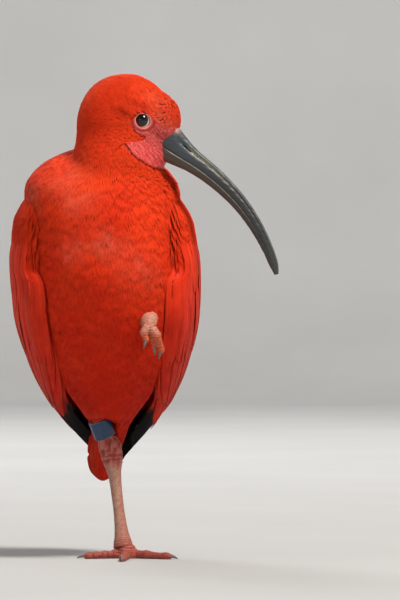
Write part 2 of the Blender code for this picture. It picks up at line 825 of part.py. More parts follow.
def make_tail(torso):
    """The closed tail: a short core under its coverts and a fan of vanes, the middle ones on top."""
    length = np.linalg.norm(TAIL_TIP - TAIL_ROOT)
    down = (TAIL_TIP - TAIL_ROOT) / length
    back = unit(np.cross([1, 0, 0], down)) * -1
    core = tube(
        "tail",
        from_body(TAIL_ROOT + np.outer(np.array([-0.05, 0.15, 0.35, 0.55, 0.66]) * length, down)),
        np.array([12, 13, 12, 9, 5]) * MM,
        "plumage",
        sides=10,
        flat=0.5,
    )
    carve(torso, core)
    vanes = []
    for i in range(TAIL_FEATHERS):
        place = (i + 0.5) / TAIL_FEATHERS * 2 - 1
        swing = place * TAIL_HALF_SPREAD
        way = down * math.cos(swing) + np.array([1, 0, 0]) * math.sin(swing)
        reach = length * (1 - 0.05 * place * place) * (0.5 + 0.5 * VANE_STEPS)
        start = TAIL_ROOT + np.array([place * 3 * MM, 0, 0])
        centre = start + np.outer(reach, way) + back * (2.4 - 3.6 * abs(place)) * MM
        facing = np.tile(back, (len(centre), 1))
        thick = np.full(len(centre), 1.0 * MM)
        roll = -place * math.radians(4)
        rings = vane(centre, facing, VANE_SHAPE * TAIL_HALF_WIDTH, thick, roll=roll, bow=0.06)
        vanes.append(loft("rectrix", [from_body(np.array(ring)) for ring in rings], "plumage"))
    return fuse(core, vanes)


# Legs and feet


def make_standing_leg():
    """Bare end of the tibia, hock and shank, down to the cut above the foot."""
    thigh = unit(HOCK - KNEE_END)
    drop = SHANK_END - HOCK
    path, radii = [KNEE_END], [TIBIA_RADIUS]
    for before_hock, radius in ((28, 6.2), (18, 6.6), (13.5, 7.6), (9, 9.0), (3, 9.6)):
        path.append(HOCK - thigh * before_hock * MM)
        radii.append(radius * MM)
    shank = ((0.06, 9.3), (0.14, 7.6), (0.25, 5.7), (0.4, 4.9), (0.62, 4.7), (0.82, 5.4), (0.93, 6.5))
    shank += ((1.0, 7.8), (1.1, 9.5))
    for share, radius in shank:
        path.append(HOCK + drop * share)
        radii.append(radius * MM)
    leg = tube("leg_right", path, radii, "bare_skin", sides=12)
    return cut_by_plane(leg, (0, 0, LEG_CUT + GAP / 2), (0, 0, -1))


# Toes of the standing foot: direction in degrees from straight ahead towards the bird's left, length without
# its claw and the share of that length at each joint.
TOES = {
    "inner": dict(way=62, length=40, joints=(0.5, 1.0)),
    "middle": dict(way=-4, length=53, joints=(0.4, 0.72, 1.0)),
    "outer": dict(way=-72, length=37, joints=(0.34, 0.62, 0.84, 1.0)),
    "hind": dict(way=214, length=25, joints=(0.62, 1.0)),
}
CLAW_LENGTH = 9 * MM


def toe_way(degrees_left):
    angle = math.radians(degrees_left)
    return np.array([math.sin(angle), -math.cos(angle), 0])


def toe_profile(toe, stations):
    """Radius and height of the middle of a toe along its length. Its pads touch the ground at the joints."""
    swell = np.zeros(len(stations))
    for joint in toe["joints"]:
        swell = np.maximum(swell, np.exp(-(((stations - joint * 0.94) / 0.085) ** 2)))
    radius = (3.9 - 1.5 * stations + 0.75 * swell) * MM
    height = radius - 0.45 * MM + 0.6 * MM * (1 - swell)
    return radius, height


def make_standing_foot():
    foot = tube(
        "foot_right",
        np.array([(-1, 0, -1.5), (-1, 0, 3), (-1.6, 0.4, 7.5), (-3.4, 1.0, 11.5), (-4.9, 1.6, 16)]) * MM,
        np.array([8.0, 10.4, 10.6, 8.8, 7.4]) * MM,
        "bare_skin",
        sides=12,
    )
    toes = []
    for name, toe in TOES.items():
        stations = np.array([0.04, 0.24, 0.38, 0.5, 0.62, 0.76, 0.9, 1.0])
        radius, height = toe_profile(toe, stations)
        path = np.outer(stations * toe["length"] * MM, toe_way(toe["way"]))
        path[:, 2] = height
        hint = np.cross(toe_way(toe["way"]), [0, 0, 1])
        toes.append(tube("toe_" + name, path, radius, "bare_skin", sides=8, side_hint=hint))
    fuse(foot, toes)
    cut_by_plane(foot, (0, 0, 0), (0, 0, -1))
    return cut_by_plane(foot, (0, 0, LEG_CUT - GAP / 2), (0, 0, 1))


def make_claw(name, root, way, down, length, radius):
    """A claw that leaves its toe along way and bends towards down."""
    share = np.array([-0.08, 0.15, 0.45, 0.75, 1.0])
    path = root + np.outer(share * length, way) + np.outer(share**2 * length * 0.22, down)
    radii = radius * np.array([1.0, 0.95, 0.72, 0.42, 0.14])
    claw = tube(name, path, radii, "claw_horn", sides=6, side_hint=np.cross(way, down))
    return claw


def make_standing_claws(foot):
    for name, toe in TOES.items():
        way = toe_way(toe["way"])
        end = way * toe["length"] * MM + np.array([0, 0, 2.75 * MM])
        claw = make_claw("claw_right_" + name, end, way, np.array([0, 0, -1.0]), CLAW_LENGTH, 1.9 * MM)
        carve(claw, foot)
        cut_by_plane(claw, (0, 0, 0.05 * MM), (0, 0, -1))


# The drawn-up foot: where it leaves the belly feathers, and a bend and the end of each toe, in mm in the
# ground's frame. The claws point at their tips.
TUCKED_ROOT = np.array([18.5, -74.0, 200.0])
TUCKED_TOES = {
    "inner": dict(bend=(14.8, -79.0, 194.5), end=(16.6, -79.5, 188.5), tip=(13.8, -80.5, 180.0), radius=3.3),
    "middle": dict(bend=(25.0, -79.5, 192.5), end=(29.0, -75.5, 180.0), tip=(27.0, -73.0, 172.0), radius=3.9),
    "outer": dict(bend=(22.0, -76.5, 190.5), end=(23.5, -76.0, 183.0), tip=(24.0, -76.5, 174.5), radius=3.0),
}


def make_tucked_foot(torso):
    path = np.array([TUCKED_ROOT + (0, 16, 8), TUCKED_ROOT + (0, 6, 4), TUCKED_ROOT]) * MM
    foot = tube("foot_left", path, np.array([8, 7, 4.6]) * MM, "bare_skin", sides=8)
    toes = []
    for name, toe in TUCKED_TOES.items():
        bend, end = np.array(toe["bend"]), np.array(toe["end"])
        knuckle = TUCKED_ROOT * 0.4 + bend * 0.6 + (0, -0.8, 0.8)
        path = np.array([TUCKED_ROOT + (0, 5, 2), knuckle, bend, end]) * MM
        radii = toe["radius"] * MM * np.array([1.2, 1.1, 1.0, 0.85])
        toes.append(tube("toe_" + name, path, radii, "bare_skin", sides=8))
    fuse(foot, toes)
    carve(foot, torso)
    for name, toe in TUCKED_TOES.items():
        end, tip = np.array(toe["end"]) * MM, np.array(toe["tip"]) * MM
        length = np.linalg.norm(tip - end)
        way = unit(tip - end)
        bend = np.array([0.0, 0.35, 0.0])
        claw = make_claw("claw_left_" + name, end, unit(way - bend), bend * 2, length, 1.9 * MM)
        carve(claw, foot, torso)
    return foot


def make_band():
    """The plastic ring that hangs on the bare end of the tibia, tilted by the leg."""
    axis = unit(HOCK - KNEE_END)
    low = KNEE_END + axis * 35.0 * MM
    high = low - axis * 16.0 * MM
    _, side, up = path_frames([high, low], np.array([1.0, 0, 0]))
    sides = 20
    turn = 2 * np.pi * np.arange(sides) / sides
    circle = np.cos(turn)[:, None] * side[0] + np.sin(turn)[:, None] * up[0]
    outer, inner = 9.1 * MM, 7.9 * MM
    rings = [high + circle * outer, low + circle * outer, low + circle * inner, high + circle * inner]
    points = np.array(rings).reshape(-1, 3)
    faces = []
    for i in range(4):
        for j in range(sides):
            k, n = (j + 1) % sides, (i + 1) % 4
            a, b, c, d = i * sides + j, i * sides + k, n * sides + k, n * sides + j
            faces += [(a, b, c), (a, c, d)]
    return face_out(add_object("leg_band", points, faces, "band_plastic"))


def build():
    clear_scene()
    torso = make_torso()
    make_neck()
    head = make_head()
    eyes = [make_eye("eye_left", 1), make_eye("eye_right", -1)]
    carve(head, *eyes, *make_bill())
    leg = make_standing_leg()
    band = make_band()
    foot = make_standing_foot()
    make_standing_claws(foot)
    carve(torso, leg, band)
    make_tucked_foot(torso)
    make_tail(torso)
    make_wings(torso)
    for obj in bpy.context.scene.objects:
        tidy(obj)


build()
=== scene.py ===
"""The looks of a scarlet ibis resting on one leg, life size.

Lengths are in metres, or in mm where a name or a comment says so. The bird's own frames are the ones its
solids were made in: the body's frame is turned and leant a little, and the head's frame has its axes
forward, to the left and up. A field is a function that is zero on a surface, negative inside it and about
the distance from it outside. The skin is one mesh on the body's field, drawn in by the depth of the coat.
The coat is thousands of small feathers, each a fan of thin locks that rise from the skin to the field's
surface. The folded wings and the tail are laid feather by feather.
"""

import math

import bmesh
import bpy
import numpy as np
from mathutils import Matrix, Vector


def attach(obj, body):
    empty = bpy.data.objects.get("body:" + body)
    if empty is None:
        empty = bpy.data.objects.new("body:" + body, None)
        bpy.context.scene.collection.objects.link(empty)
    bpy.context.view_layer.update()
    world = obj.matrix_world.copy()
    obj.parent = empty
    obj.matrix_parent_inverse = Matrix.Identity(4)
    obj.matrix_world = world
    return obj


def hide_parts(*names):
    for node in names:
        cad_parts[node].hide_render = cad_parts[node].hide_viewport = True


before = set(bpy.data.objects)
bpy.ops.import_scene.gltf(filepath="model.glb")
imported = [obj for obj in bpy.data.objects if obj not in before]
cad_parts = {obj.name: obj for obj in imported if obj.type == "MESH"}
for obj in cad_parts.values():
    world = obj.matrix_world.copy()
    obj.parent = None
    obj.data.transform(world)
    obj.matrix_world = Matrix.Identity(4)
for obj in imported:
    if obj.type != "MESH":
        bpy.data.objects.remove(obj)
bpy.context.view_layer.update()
MM = 0.001
random = np.random.default_rng(11)

# The camera stands level with the belly, 4 m away, and sees 0.86 mm to a pixel of a 400 x 600 picture.
CAMERA_PLACE = (0.062, -4.0, 0.222)
FILM_HEIGHT = 36.0
VIEW_HEIGHT = 600 * 0.86 * MM

# The body's own frame
BODY_YAW = math.radians(1.5)
BODY_LEAN = -0.038
LEAN_FROM = 195 * MM
BODY_PLACE = np.array([-17.0, -24.0, 0.0]) * MM
BODY_LOW, BODY_HIGH = np.array([-100, -115, 84]) * MM, np.array([72, 92, 432]) * MM

# Torso and folded wings in the body's frame, in mm: height, half width, front, back.
TORSO = (
    (92, 8, 66, 86),
    (101, 12, 50, 93),
    (114, 17, 28, 97),
    (124, 24, 10, 98),
    (136, 33, -8, 98),
    (150, 43, -22, 98),
    (170, 55, -37, 97),
    (213, 67, -57, 91),
    (248, 69, -65, 81),
    (286, 67, -62, 68),
    (316, 67, -50, 57),
    (330, 60, -36, 52),
    (340, 49, -22, 46),
    (348, 33, -8, 37),
    (353, 17, 4, 26),
)
WING_SHELL = (
    (64, 9, 106, 129),
    (76, 16.5, 101, 128),
    (91, 27.5, 78, 126),
    (101, 35.5, 55, 124),
    (119, 47.5, 20, 121),
    (136, 58.3, -10, 117),
    (170, 72.6, -41, 111),
    (213, 81.8, -61, 103),
    (248, 82.8, -68, 93),
    (286, 79.2, -64, 81),
    (316, 67.8, -54, 66),
    (338, 49.5, -36, 50),
)
# Where the folded wing begins and ends round the body, in degrees from the breast: height, front, back.
WING_REACH = (
    (64, 135, 168),
    (76, 128, 168),
    (91, 112, 170),
    (101, 98, 172),
    (119, 72, 173),
    (136, 54, 173),
    (170, 44, 171),
    (213, 43, 164),
    (236, 45, 156),
    (248, 51, 151),
    (286, 50, 134),
    (305, 54, 122),
    (325, 68, 104),
)

# Head
HEAD_CENTRE = np.array([-2.0, -32.0, 378.0]) * MM
HEAD_YAW = math.radians(75)
HEAD_PITCH = math.radians(-28)
EYE_PLACE = np.array([20.0, 17.8, 6.2]) * MM
EYE_OUT = np.array([0.24, 0.96, 0.1])

# Bill, from root (0) to tip (1), in the head's frame: its slope in degrees, its depth and width in mm.
BILL_ROOT = np.array([44.0, 0.0, -1.5]) * MM
BILL_LENGTH = 151 * MM
BILL_SLOPES = ((0, 13), (0.08, 8), (0.16, 6), (0.24, 8), (0.33, 11.5), (0.46, 17), (0.6, 25), (0.73, 32))
BILL_SLOPES += ((0.84, 37), (1, 48))
BILL_DEPTHS = ((0, 32), (0.06, 27.5), (0.13, 22.6), (0.19, 19.4), (0.32, 16.6), (0.55, 13.4), (0.8, 10))
BILL_DEPTHS += ((0.94, 7.6), (1, 3.6))
BILL_WIDTHS = ((0, 20), (0.08, 17), (0.2, 12.5), (0.45, 9), (0.8, 6.8), (0.94, 5.4), (1, 2.8))
UPPER_SHARE = 0.62

# Leg and foot that stand
HOCK = np.array([-14.0, 15.0, 90.0]) * MM
KNEE_END = np.array([-32.0, 0.0, 136.0]) * MM
SHANK_END = np.array([-4.5, 1.5, 14.0]) * MM
TOES = {
    "inner": dict(way=62, length=40, joints=(0.5, 1.0)),
    "middle": dict(way=-4, length=53, joints=(0.4, 0.72, 1.0)),
    "outer": dict(way=-72, length=37, joints=(0.34, 0.62, 0.84, 1.0)),
    "hind": dict(way=214, length=25, joints=(0.62, 1.0)),
}
CLAW_LENGTH = 9 * MM
TUCKED_ROOT = np.array([18.5, -74.0, 200.0])
TUCKED_TOES = {
    "inner": dict(bend=(14.8, -79.0, 194.5), end=(16.6, -79.5, 188.5), tip=(13.8, -80.5, 180.0), radius=3.3),
    "middle": dict(bend=(25.0, -79.5, 192.5), end=(29.0, -75.5, 180.0), tip=(27.0, -73.0, 172.0), radius=3.9),
    "outer": dict(bend=(22.0, -76.5, 190.5), end=(23.5, -76.0, 183.0), tip=(24.0, -76.5, 174.5), radius=3.0),
}

# Tail, in the body's frame
TAIL_ROOT, TAIL_TIP = np.array([-2, 82, 140]) * MM, np.array([-8.5, 112.5, 64]) * MM
TAIL_HALF_WIDTH = 9.0 * MM
TAIL_HALF_SPREAD = math.radians(3.6)


# Points and curves


def unit(vector):
    return vector / np.maximum(np.linalg.norm(vector, axis=-1, keepdims=True), 1e-12)


def smooth_step(value, low, high):
    share = np.clip((value - low) / (high - low), 0, 1)
    return share * share * (3 - 2 * share)


def bell(value, middle, reach):
    """1 at the middle, falling smoothly to 0 beyond its reach."""
    return np.exp(-(((value - middle) / reach) ** 2))


def smooth_curve(x, stations, column=1):
    """A curve through the stations that doesn't overshoot them, read at x."""
    table = np.array(stations, float)
    xs, ys = table[:, 0], table[:, column]
    step = np.diff(xs)
    slope = np.diff(ys) / step
    tangent = np.concatenate([slope[:1], np.zeros(len(xs) - 2), slope[-1:]])
    before, after = slope[:-1], slope[1:]
    agree = before * after > 0
    heavy, light = 2 * step[1:] + step[:-1], step[1:] + 2 * step[:-1]
    mean = (heavy + light)[agree] / (heavy[agree] / before[agree] + light[agree] / after[agree])
    tangent[1:-1][agree] = mean
    x = np.clip(np.asarray(x, float), xs[0], xs[-1])
    i = np.clip(np.searchsorted(xs, x) - 1, 0, len(xs) - 2)
    t = (x - xs[i]) / step[i]
    rise = step[i] * (tangent[i] * t * (1 - t) ** 2 - tangent[i + 1] * t * t * (1 - t))
    return ys[i] + (ys[i + 1] - ys[i]) * t * t * (3 - 2 * t) + rise


def body_turn():
    c, s = math.cos(BODY_YAW), math.sin(BODY_YAW)
    return np.array([[c, -s, 0], [s, c, 0], [0, 0, 1]])


def from_body(points):
    placed = np.asarray(points) @ body_turn().T + BODY_PLACE
    placed[..., 0] += BODY_LEAN * (placed[..., 2] - LEAN_FROM)
    return placed


def to_body(points):
    upright = points.copy()
    upright[..., 0] -= BODY_LEAN * (points[..., 2] - LEAN_FROM)
    return (upright - BODY_PLACE) @ body_turn()


def head_axes():
    """The head's forward, left and up directions, as rows."""
    level = np.array([math.sin(HEAD_YAW), -math.cos(HEAD_YAW), 0])
    up = np.array([0, 0, 1.0])
    forward = level * math.cos(HEAD_PITCH) + up * math.sin(HEAD_PITCH)
    left = np.cross(up, level)
    return np.array([forward, left, np.cross(forward, left)])


HEAD_AXES = head_axes()


def from_head(points):
    return np.asarray(points) @ HEAD_AXES + HEAD_CENTRE


def to_head(points):
    return (points - HEAD_CENTRE) @ HEAD_AXES.T


def waves(points, length, seed=0):
    """Smooth noise between about -1 and 1, with features of this length."""
    turns = np.random.default_rng(seed)
    total = np.zeros(points.shape[:-1])
    for _ in range(7):
        way = unit(turns.normal(size=3)) * 2 * math.pi / length * turns.uniform(0.6, 1.6)
        total += np.sin(points @ way + turns.uniform(0, 6.3))
    return total / 3.2


# Fields of the body


def ball(points, centre, radii):
    away = (points - np.array(centre) * MM) / (np.array(radii) * MM)
    return (np.linalg.norm(away, axis=1) - 1) * min(radii) * MM


def taper(points, start, end, radius, end_radius):
    """A round bar between two points in mm, with its two radii in mm."""
    start, end = np.array(start) * MM, np.array(end) * MM
    along = np.clip((points - start) @ (end - start) / np.sum((end - start) ** 2), 0, 1)
    thick = (radius + (end_radius - radius) * along) * MM
    return np.linalg.norm(points - start - along[:, None] * (end - start), axis=1) - thick


def blend(first, second, reach):
    """Both forms, joined by a fillet of about this reach in mm."""
    reach = reach * MM
    share = np.clip(0.5 + 0.5 * (second - first) / reach, 0, 1)
    return second + (first - second) * share - reach * share * (1 - share)


def oval_field(own, table):
    """A form of oval sections, at points of the body's frame. Its table is like that of the torso."""
    half, front, back = (smooth_curve(own[:, 2] / MM, table, column) * MM for column in (1, 2, 3))
    depth = (back - front) / 2
    ring = np.sqrt((own[:, 0] / half) ** 2 + ((own[:, 1] - (front + back) / 2) / depth) ** 2)
    return (ring - 1) * np.minimum(half, depth)


def torso_field(points):
    own = to_body(points)
    height = own[:, 2] / MM
    ends = np.maximum(height - TORSO[-1][0], TORSO[0][0] - height) * MM
    return np.maximum(oval_field(own, TORSO), ends)


def neck_field(points):
    lower = taper(points, (-15, -34, 290), (-10, -32, 334), 48, 35.5)
    upper = taper(points, (-10, -32, 334), (-8, -30, 366), 35.5, 33)
    return blend(lower, upper, 12)


def head_field(points):
    own = to_head(points)
    skull = ball(own, (0, 0, -2), (39.5, 29, 38))
    brow = taper(own, (9, 0, 8), (32, 0, 7.5), 26, 15.5)
    forehead = taper(own, (8, 0, 8.5), (26.5, 0, 17.5), 27, 15.5)
    jaw = ball(own, (26, 0, -13), (25, 15, 15.5))
    return blend(blend(blend(skull, brow, 6), forehead, 11), jaw, 7)


def thigh_field(points):
    standing = taper(points, (-20, 2, 172), (-27.5, 4, 127), 34, 9)
    folded = taper(points, (13, -12, 194), (6, 22, 160), 33, 22)
    return blend(standing, folded, 16)


def tail_root_field(points):
    return taper(to_body(points), (0, 62, 150), (-8, 88, 112), 30, 11)


def body_field(points):
    """The outer surface of the plumage, without the wings. The feathers leave room for the band."""
    trunk = blend(torso_field(points), thigh_field(points), 12)
    trunk = blend(trunk, tail_root_field(points), 12)
    axis = unit(HOCK - KNEE_END)
    along = (points - KNEE_END) @ axis
    off = np.linalg.norm(points - KNEE_END - along[:, None] * axis, axis=1)
    room = np.maximum(off - 11.5 * MM, np.abs(along - 34 * MM) - 16 * MM)
    trunk = -blend(-trunk, room, 3)
    return blend(blend(trunk, neck_field(points), 9), head_field(points), 9)


PROBE = 0.2 * MM  # how far apart a field is read to find its slope


def slope_of(field, points):
    rise = [field(points + step) - field(points - step) for step in np.eye(3) * PROBE]
    return np.stack(rise, 1) / (2 * PROBE)


def settle(field, points, level=0.0, rounds=1):
    """The points moved along the field's slope to where it has this level, and the outward normals there."""
    for _ in range(rounds):
        slope = slope_of(field, points)
        size = np.maximum((slope**2).sum(1), 1e-4)
        points = points - np.clip((field(points) - level) / size, -4 * MM, 4 * MM)[:, None] * slope
    return points, unit(slope)


def surface_net(field, axes):
    """A closed quad mesh where the field is zero, with one point in each cell of the grid that it crosses."""
    counts = [len(axis) for axis in axes]
    corners = np.stack(np.meshgrid(*axes, indexing="ij"), -1)
    value = field(corners.reshape(-1, 3)).reshape(counts)
    cells = [count - 1 for count in counts]
    total, hits = np.zeros(cells + [3]), np.zeros(cells)
    quads = []
    for axis in range(3):
        u, v = (axis + 1) % 3, (axis + 2) % 3
        near = np.take(value, range(counts[axis] - 1), axis)
        far = np.take(value, range(1, counts[axis]), axis)
        index = np.argwhere((near < 0) != (far < 0))
        a, b = near[tuple(index.T)], far[tuple(index.T)]
        crossing = corners[tuple(index.T)].copy()
        crossing[:, axis] += np.diff(axes[axis])[index[:, axis]] * a / (a - b)
        ring = []
        for du, dv in ((0, 0), (1, 0), (1, 1), (0, 1)):
            touching = index.copy()
            touching[:, u] -= du
            touching[:, v] -= dv
            np.add.at(total, tuple(touching.T), crossing)
            np.add.at(hits, tuple(touching.T), 1)
            ring.append(np.ravel_multi_index(tuple(touching.T), cells))
        quad = np.stack(ring, 1)
        quad[a > 0] = quad[a > 0][:, ::-1]
        quads.append(quad)
    used = np.flatnonzero(hits.ravel())
    number = np.full(hits.size, -1)
    number[used] = np.arange(len(used))
    points = total.reshape(-1, 3)[used] / hits.ravel()[used][:, None]
    return settle(field, points, rounds=3)[0], number[np.concatenate(quads)]


def graded_axis(low, high, fine_low, fine_high, coarse, fine):
    """Grid places with a fine stretch in the middle."""
    before = np.linspace(low, fine_low, max(2, round((fine_low - low) / coarse)), endpoint=False)
    middle = np.linspace(fine_low, fine_high, round((fine_high - fine_low) / fine), endpoint=False)
    after = np.linspace(fine_high, high, max(2, round((high - fine_high) / coarse)))
    return np.concatenate([before, middle, after])


# Meshes


def add_mesh(name, points, loops, sizes, finish, colours=None, maps=None, smooth=True):
    """A mesh object from flat arrays. colours and maps are per point; maps have two numbers a point."""
    mesh = bpy.data.meshes.new(name)
    mesh.vertices.add(len(points))
    mesh.vertices.foreach_set("co", np.asarray(points, np.float32).ravel())
    mesh.loops.add(len(loops))
    mesh.loops.foreach_set("vertex_index", np.asarray(loops, np.int32))
    mesh.polygons.add(len(sizes))
    starts = np.concatenate([[0], np.cumsum(sizes)[:-1]])
    mesh.polygons.foreach_set("loop_start", np.asarray(starts, np.int32))
    mesh.update(calc_edges=True)
    mesh.validate()
    mesh.polygons.foreach_set("use_smooth", np.full(len(mesh.polygons), smooth))
    for label, values in (colours or {}).items():
        layer = mesh.color_attributes.new(label, "FLOAT_COLOR", "POINT")
        rgba = np.ones((len(points), 4), np.float32)
        rgba[:, : values.shape[1]] = values
        layer.data.foreach_set("color", rgba.ravel())
    corner = np.zeros(len(mesh.loops), np.int32)
    mesh.loops.foreach_get("vertex_index", corner)
    for label, values in (maps or {}).items():
        layer = mesh.uv_layers.new(name=label)
        layer.data.foreach_set("uv", np.asarray(values, np.float32)[corner].ravel())
    mesh.materials.append(finish)
    obj = bpy.data.objects.new(name, mesh)
    bpy.context.scene.collection.objects.link(obj)
    return obj


def loft_faces(count, rings, sides):
    """Loops and sizes of this many closed tubes, each over rings of points, with flat ends."""
    r, s = np.meshgrid(np.arange(rings - 1), np.arange(sides), indexing="ij")
    t = (s + 1) % sides
    near, far = r * sides, (r + 1) * sides
    quads = np.stack([near + s, near + t, far + t, far + s], -1).reshape(-1, 4)
    start = np.arange(sides)[::-1]
    end = (rings - 1) * sides + np.arange(sides)
    one = np.concatenate([quads.ravel(), start, end])
    sizes = np.concatenate([np.full(len(quads), 4), [sides, sides]])
    shift = np.arange(count)[:, None] * rings * sides
    return (one[None] + shift).ravel(), np.tile(sizes, count)


def add_lofts(name, rings, finish, colours=None, maps=None, flip=False):
    """One mesh of tubes. rings has the shape tubes, rings, sides, 3, and each value per point is alike."""
    rings = np.asarray(rings)
    if rings.ndim == 3:
        rings = rings[None]
    count, length, sides = rings.shape[:3]
    first = rings[0]
    middle = first.mean(1)
    ahead = middle[1] - middle[0]
    turn = np.cross(first[0][0] - middle[0], first[0][1] - middle[0])
    loops, sizes = loft_faces(count, length, sides)
    if (turn @ ahead < 0) != flip:
        loops = reverse_polygons(loops, sizes)
    flat = {label: v.reshape(-1, v.shape[-1]) for label, v in (colours or {}).items()}
    flat_maps = {label: v.reshape(-1, 2) for label, v in (maps or {}).items()}
    return add_mesh(name, rings.reshape(-1, 3), loops, sizes, finish, flat, flat_maps)


def reverse_polygons(loops, sizes):
    ends = np.cumsum(sizes)
    starts = ends - sizes
    place = np.arange(len(loops))
    owner = np.repeat(np.arange(len(sizes)), sizes)
    return loops[starts[owner] + ends[owner] - 1 - place]


def path_frames(path, side_hint):
    along = unit(np.gradient(path, axis=0))
    up = unit(np.cross(side_hint, along))
    return along, np.cross(along, up), up


def tube_rings(path, radii, sides, side_hint=(1.0, 0, 0), flat=1.0):
    """Rings round a path. radii may also be given for each point of each ring."""
    _, side, up = path_frames(path, np.array(side_hint, float))
    turn = 2 * np.pi * (np.arange(sides) + 0.5) / sides
    radii = np.asarray(radii)
    radii = radii[:, None] if radii.ndim == 1 else radii
    across = np.cos(turn)[None, :, None] * side[:, None] + flat * np.sin(turn)[None, :, None] * up[:, None]
    return path[:, None] + radii[..., None] * across


def refine(points, loops, sizes, wanted, cuts):
    """The mesh with the faces round the wanted points split this many times along each edge."""
    work = bmesh.new()
    verts = [work.verts.new(p) for p in points]
    start = 0
    for size in sizes:
        work.faces.new([verts[k] for k in loops[start : start + size]])
        start += size
    work.verts.index_update()
    chosen = [f for f in work.faces if any(wanted[v.index] for v in f.verts)]
    edges = list({e for f in chosen for e in f.edges})
    bmesh.ops.subdivide_edges(work, edges=edges, cuts=cuts, use_grid_fill=True)
    work.verts.index_update()
    made = np.array([v.co for v in work.verts])
    faces = [[v.index for v in f.verts] for f in work.faces]
    work.free()
    return made, np.concatenate(faces), np.array([len(f) for f in faces])


# Materials


class Finish:
    """A material on a Principled shader, and short ways to add nodes to it."""

    def __init__(self, name, roughness, specular):
        self.material = bpy.data.materials.new(name)
        self.material.use_nodes = True
        self.tree = self.material.node_tree
        self.shader = self.tree.nodes["Principled BSDF"]
        self.set(self.shader, {"Roughness": roughness, "Specular IOR Level": specular})

    def set(self, node, values):
        """Links or sets a node's inputs. A colour is given as three numbers."""
        for name, value in values.items():
            socket = node.inputs[name]
            if isinstance(value, bpy.types.NodeSocket):
                self.tree.links.new(value, socket)
            elif socket.type == "RGBA":
                socket.default_value = (*value, 1)
            else:
                socket.default_value = value

    def node(self, kind, output=0, inputs=None, **settings):
        node = self.tree.nodes.new("ShaderNode" + kind)
        for name, value in settings.items():
            setattr(node, name, value)
        self.set(node, inputs or {})
        return node.outputs[output]

    def place(self):
        return self.node("TexCoord", "Object")

    def map(self, name):
        return self.node("UVMap", uv_map=name)

    def colour(self, name):
        return self.node("Attribute", "Color", attribute_name=name)

    def split(self, vector):
        node = self.tree.nodes.new("ShaderNodeSeparateXYZ")
        self.tree.links.new(vector, node.inputs[0])
        return node.outputs

    def stretch(self, vector, scale):
        return self.node("Mapping", inputs={"Vector": vector, "Scale": scale})

    def noise(self, vector, scale, detail=3.0, rough=0.5):
        values = {"Vector": vector, "Scale": scale, "Detail": detail, "Roughness": rough}
        return self.node("TexNoise", "Fac", values)

    def cells(self, vector, scale, feature="F1"):
        return self.node("TexVoronoi", "Distance", {"Vector": vector, "Scale": scale}, feature=feature)

    def ramp(self, value, *stops):
        """A colour ramp. Each stop is a place and a grey or a colour."""
        node = self.tree.nodes.new("ShaderNodeValToRGB")
        ramp = node.color_ramp
        while len(ramp.elements) < len(stops):
            ramp.elements.new(0.5)
        for element, (place, shade) in zip(ramp.elements, stops):
            element.position = place
            element.color = (*shade, 1) if isinstance(shade, tuple) else (shade, shade, shade, 1)
        self.tree.links.new(value, node.inputs[0])
        return node.outputs[0]

    def mix(self, first, second, share, way="MIX"):
        return self.node("Mix", 2, {0: share, 6: first, 7: second}, data_type="RGBA", blend_type=way)

    def times(self, first, second):
        return self.mix(first, second, 1.0, "MULTIPLY")

    def math(self, way, first, second=0.5):
        return self.node("Math", inputs={0: first, 1: second}, operation=way)

    def bump(self, height, distance, strength=1.0):
        return self.node("Bump", inputs={"Height": height, "Distance": distance, "Strength": strength})

    def wear(self, colour=None, normal=None, roughness=None):
        for name, value in (("Base Color", colour), ("Normal", normal), ("Roughness", roughness)):
            if value is not None:
                self.set(self.shader, {name: value})
        return self.material


def plumage_finish():
    """Feathers: the colour each point was given, with barbs along each vane and soft clouds over the body."""
    f = Finish("plumage", 0.75, 0.07)
    vane = f.map("Vane")
    barbs = f.noise(f.stretch(vane, (9.0, 1.3, 1.0)), 1.0, 4.0, 0.6)
    clouds = f.noise(f.place(), 34.0, 3.0, 0.55)
    base = f.times(f.colour("Plume"), f.ramp(barbs, (0.25, 0.86), (0.75, 1.12)))
    base = f.times(base, f.ramp(clouds, (0.3, (0.9, 0.85, 0.85)), (0.7, (1.05, 1.15, 1.1))))
    # Each lock is darker towards its root, which is painted shade under the feathers that lie over it. It is
    # a little paler at its tip, which is the feather's own edge.
    along = f.split(vane)[1]
    base = f.times(base, f.ramp(along, (0.0, 0.7), (0.7, 0.96), (1.0, 1.04)))
    return f.wear(base, f.bump(barbs, 0.1 * MM, 0.3))


def vane_finish():
    """Large feathers of the wings and tail, with a shaft and slanting barbs."""
    f = Finish("vanes", 0.6, 0.1)
    vane = f.map("Vane")
    parts = f.split(vane)
    sideways = f.math("MULTIPLY", f.math("ABSOLUTE", parts[0]), -9.0)
    slant = f.math("ADD", sideways, f.math("MULTIPLY", parts[1], 60.0))
    joined = f.node("CombineXYZ", inputs={0: slant, 1: f.math("MULTIPLY", parts[0], 1.5), 2: 0.0})
    barbs = f.noise(joined, 1.6, 2.0, 0.6)
    streaks = f.noise(f.stretch(vane, (7.0, 0.8, 1.0)), 1.0, 3.0, 0.6)
    clouds = f.noise(f.place(), 30.0, 3.0, 0.55)
    base = f.times(f.colour("Plume"), f.ramp(barbs, (0.3, 0.84), (0.7, 1.1)))
    base = f.times(base, f.ramp(streaks, (0.3, 0.8), (0.75, 1.14)))
    base = f.times(base, f.ramp(clouds, (0.3, 0.88), (0.7, 1.1)))
    return f.wear(base, f.bump(barbs, 0.12 * MM, 0.5))


# Marks of the plumage and of the bare face


SCARLET = np.array([0.76, 0.027, 0.006])
ORANGE = np.array([0.9, 0.06, 0.012])
# The dark red of painted shade, low on the belly and round the eyes.
SHADE_RED = np.array([0.5, 0.013, 0.004])
PALE = np.array([0.86, 0.17, 0.1])
BLACK = np.array([0.006, 0.005, 0.006])


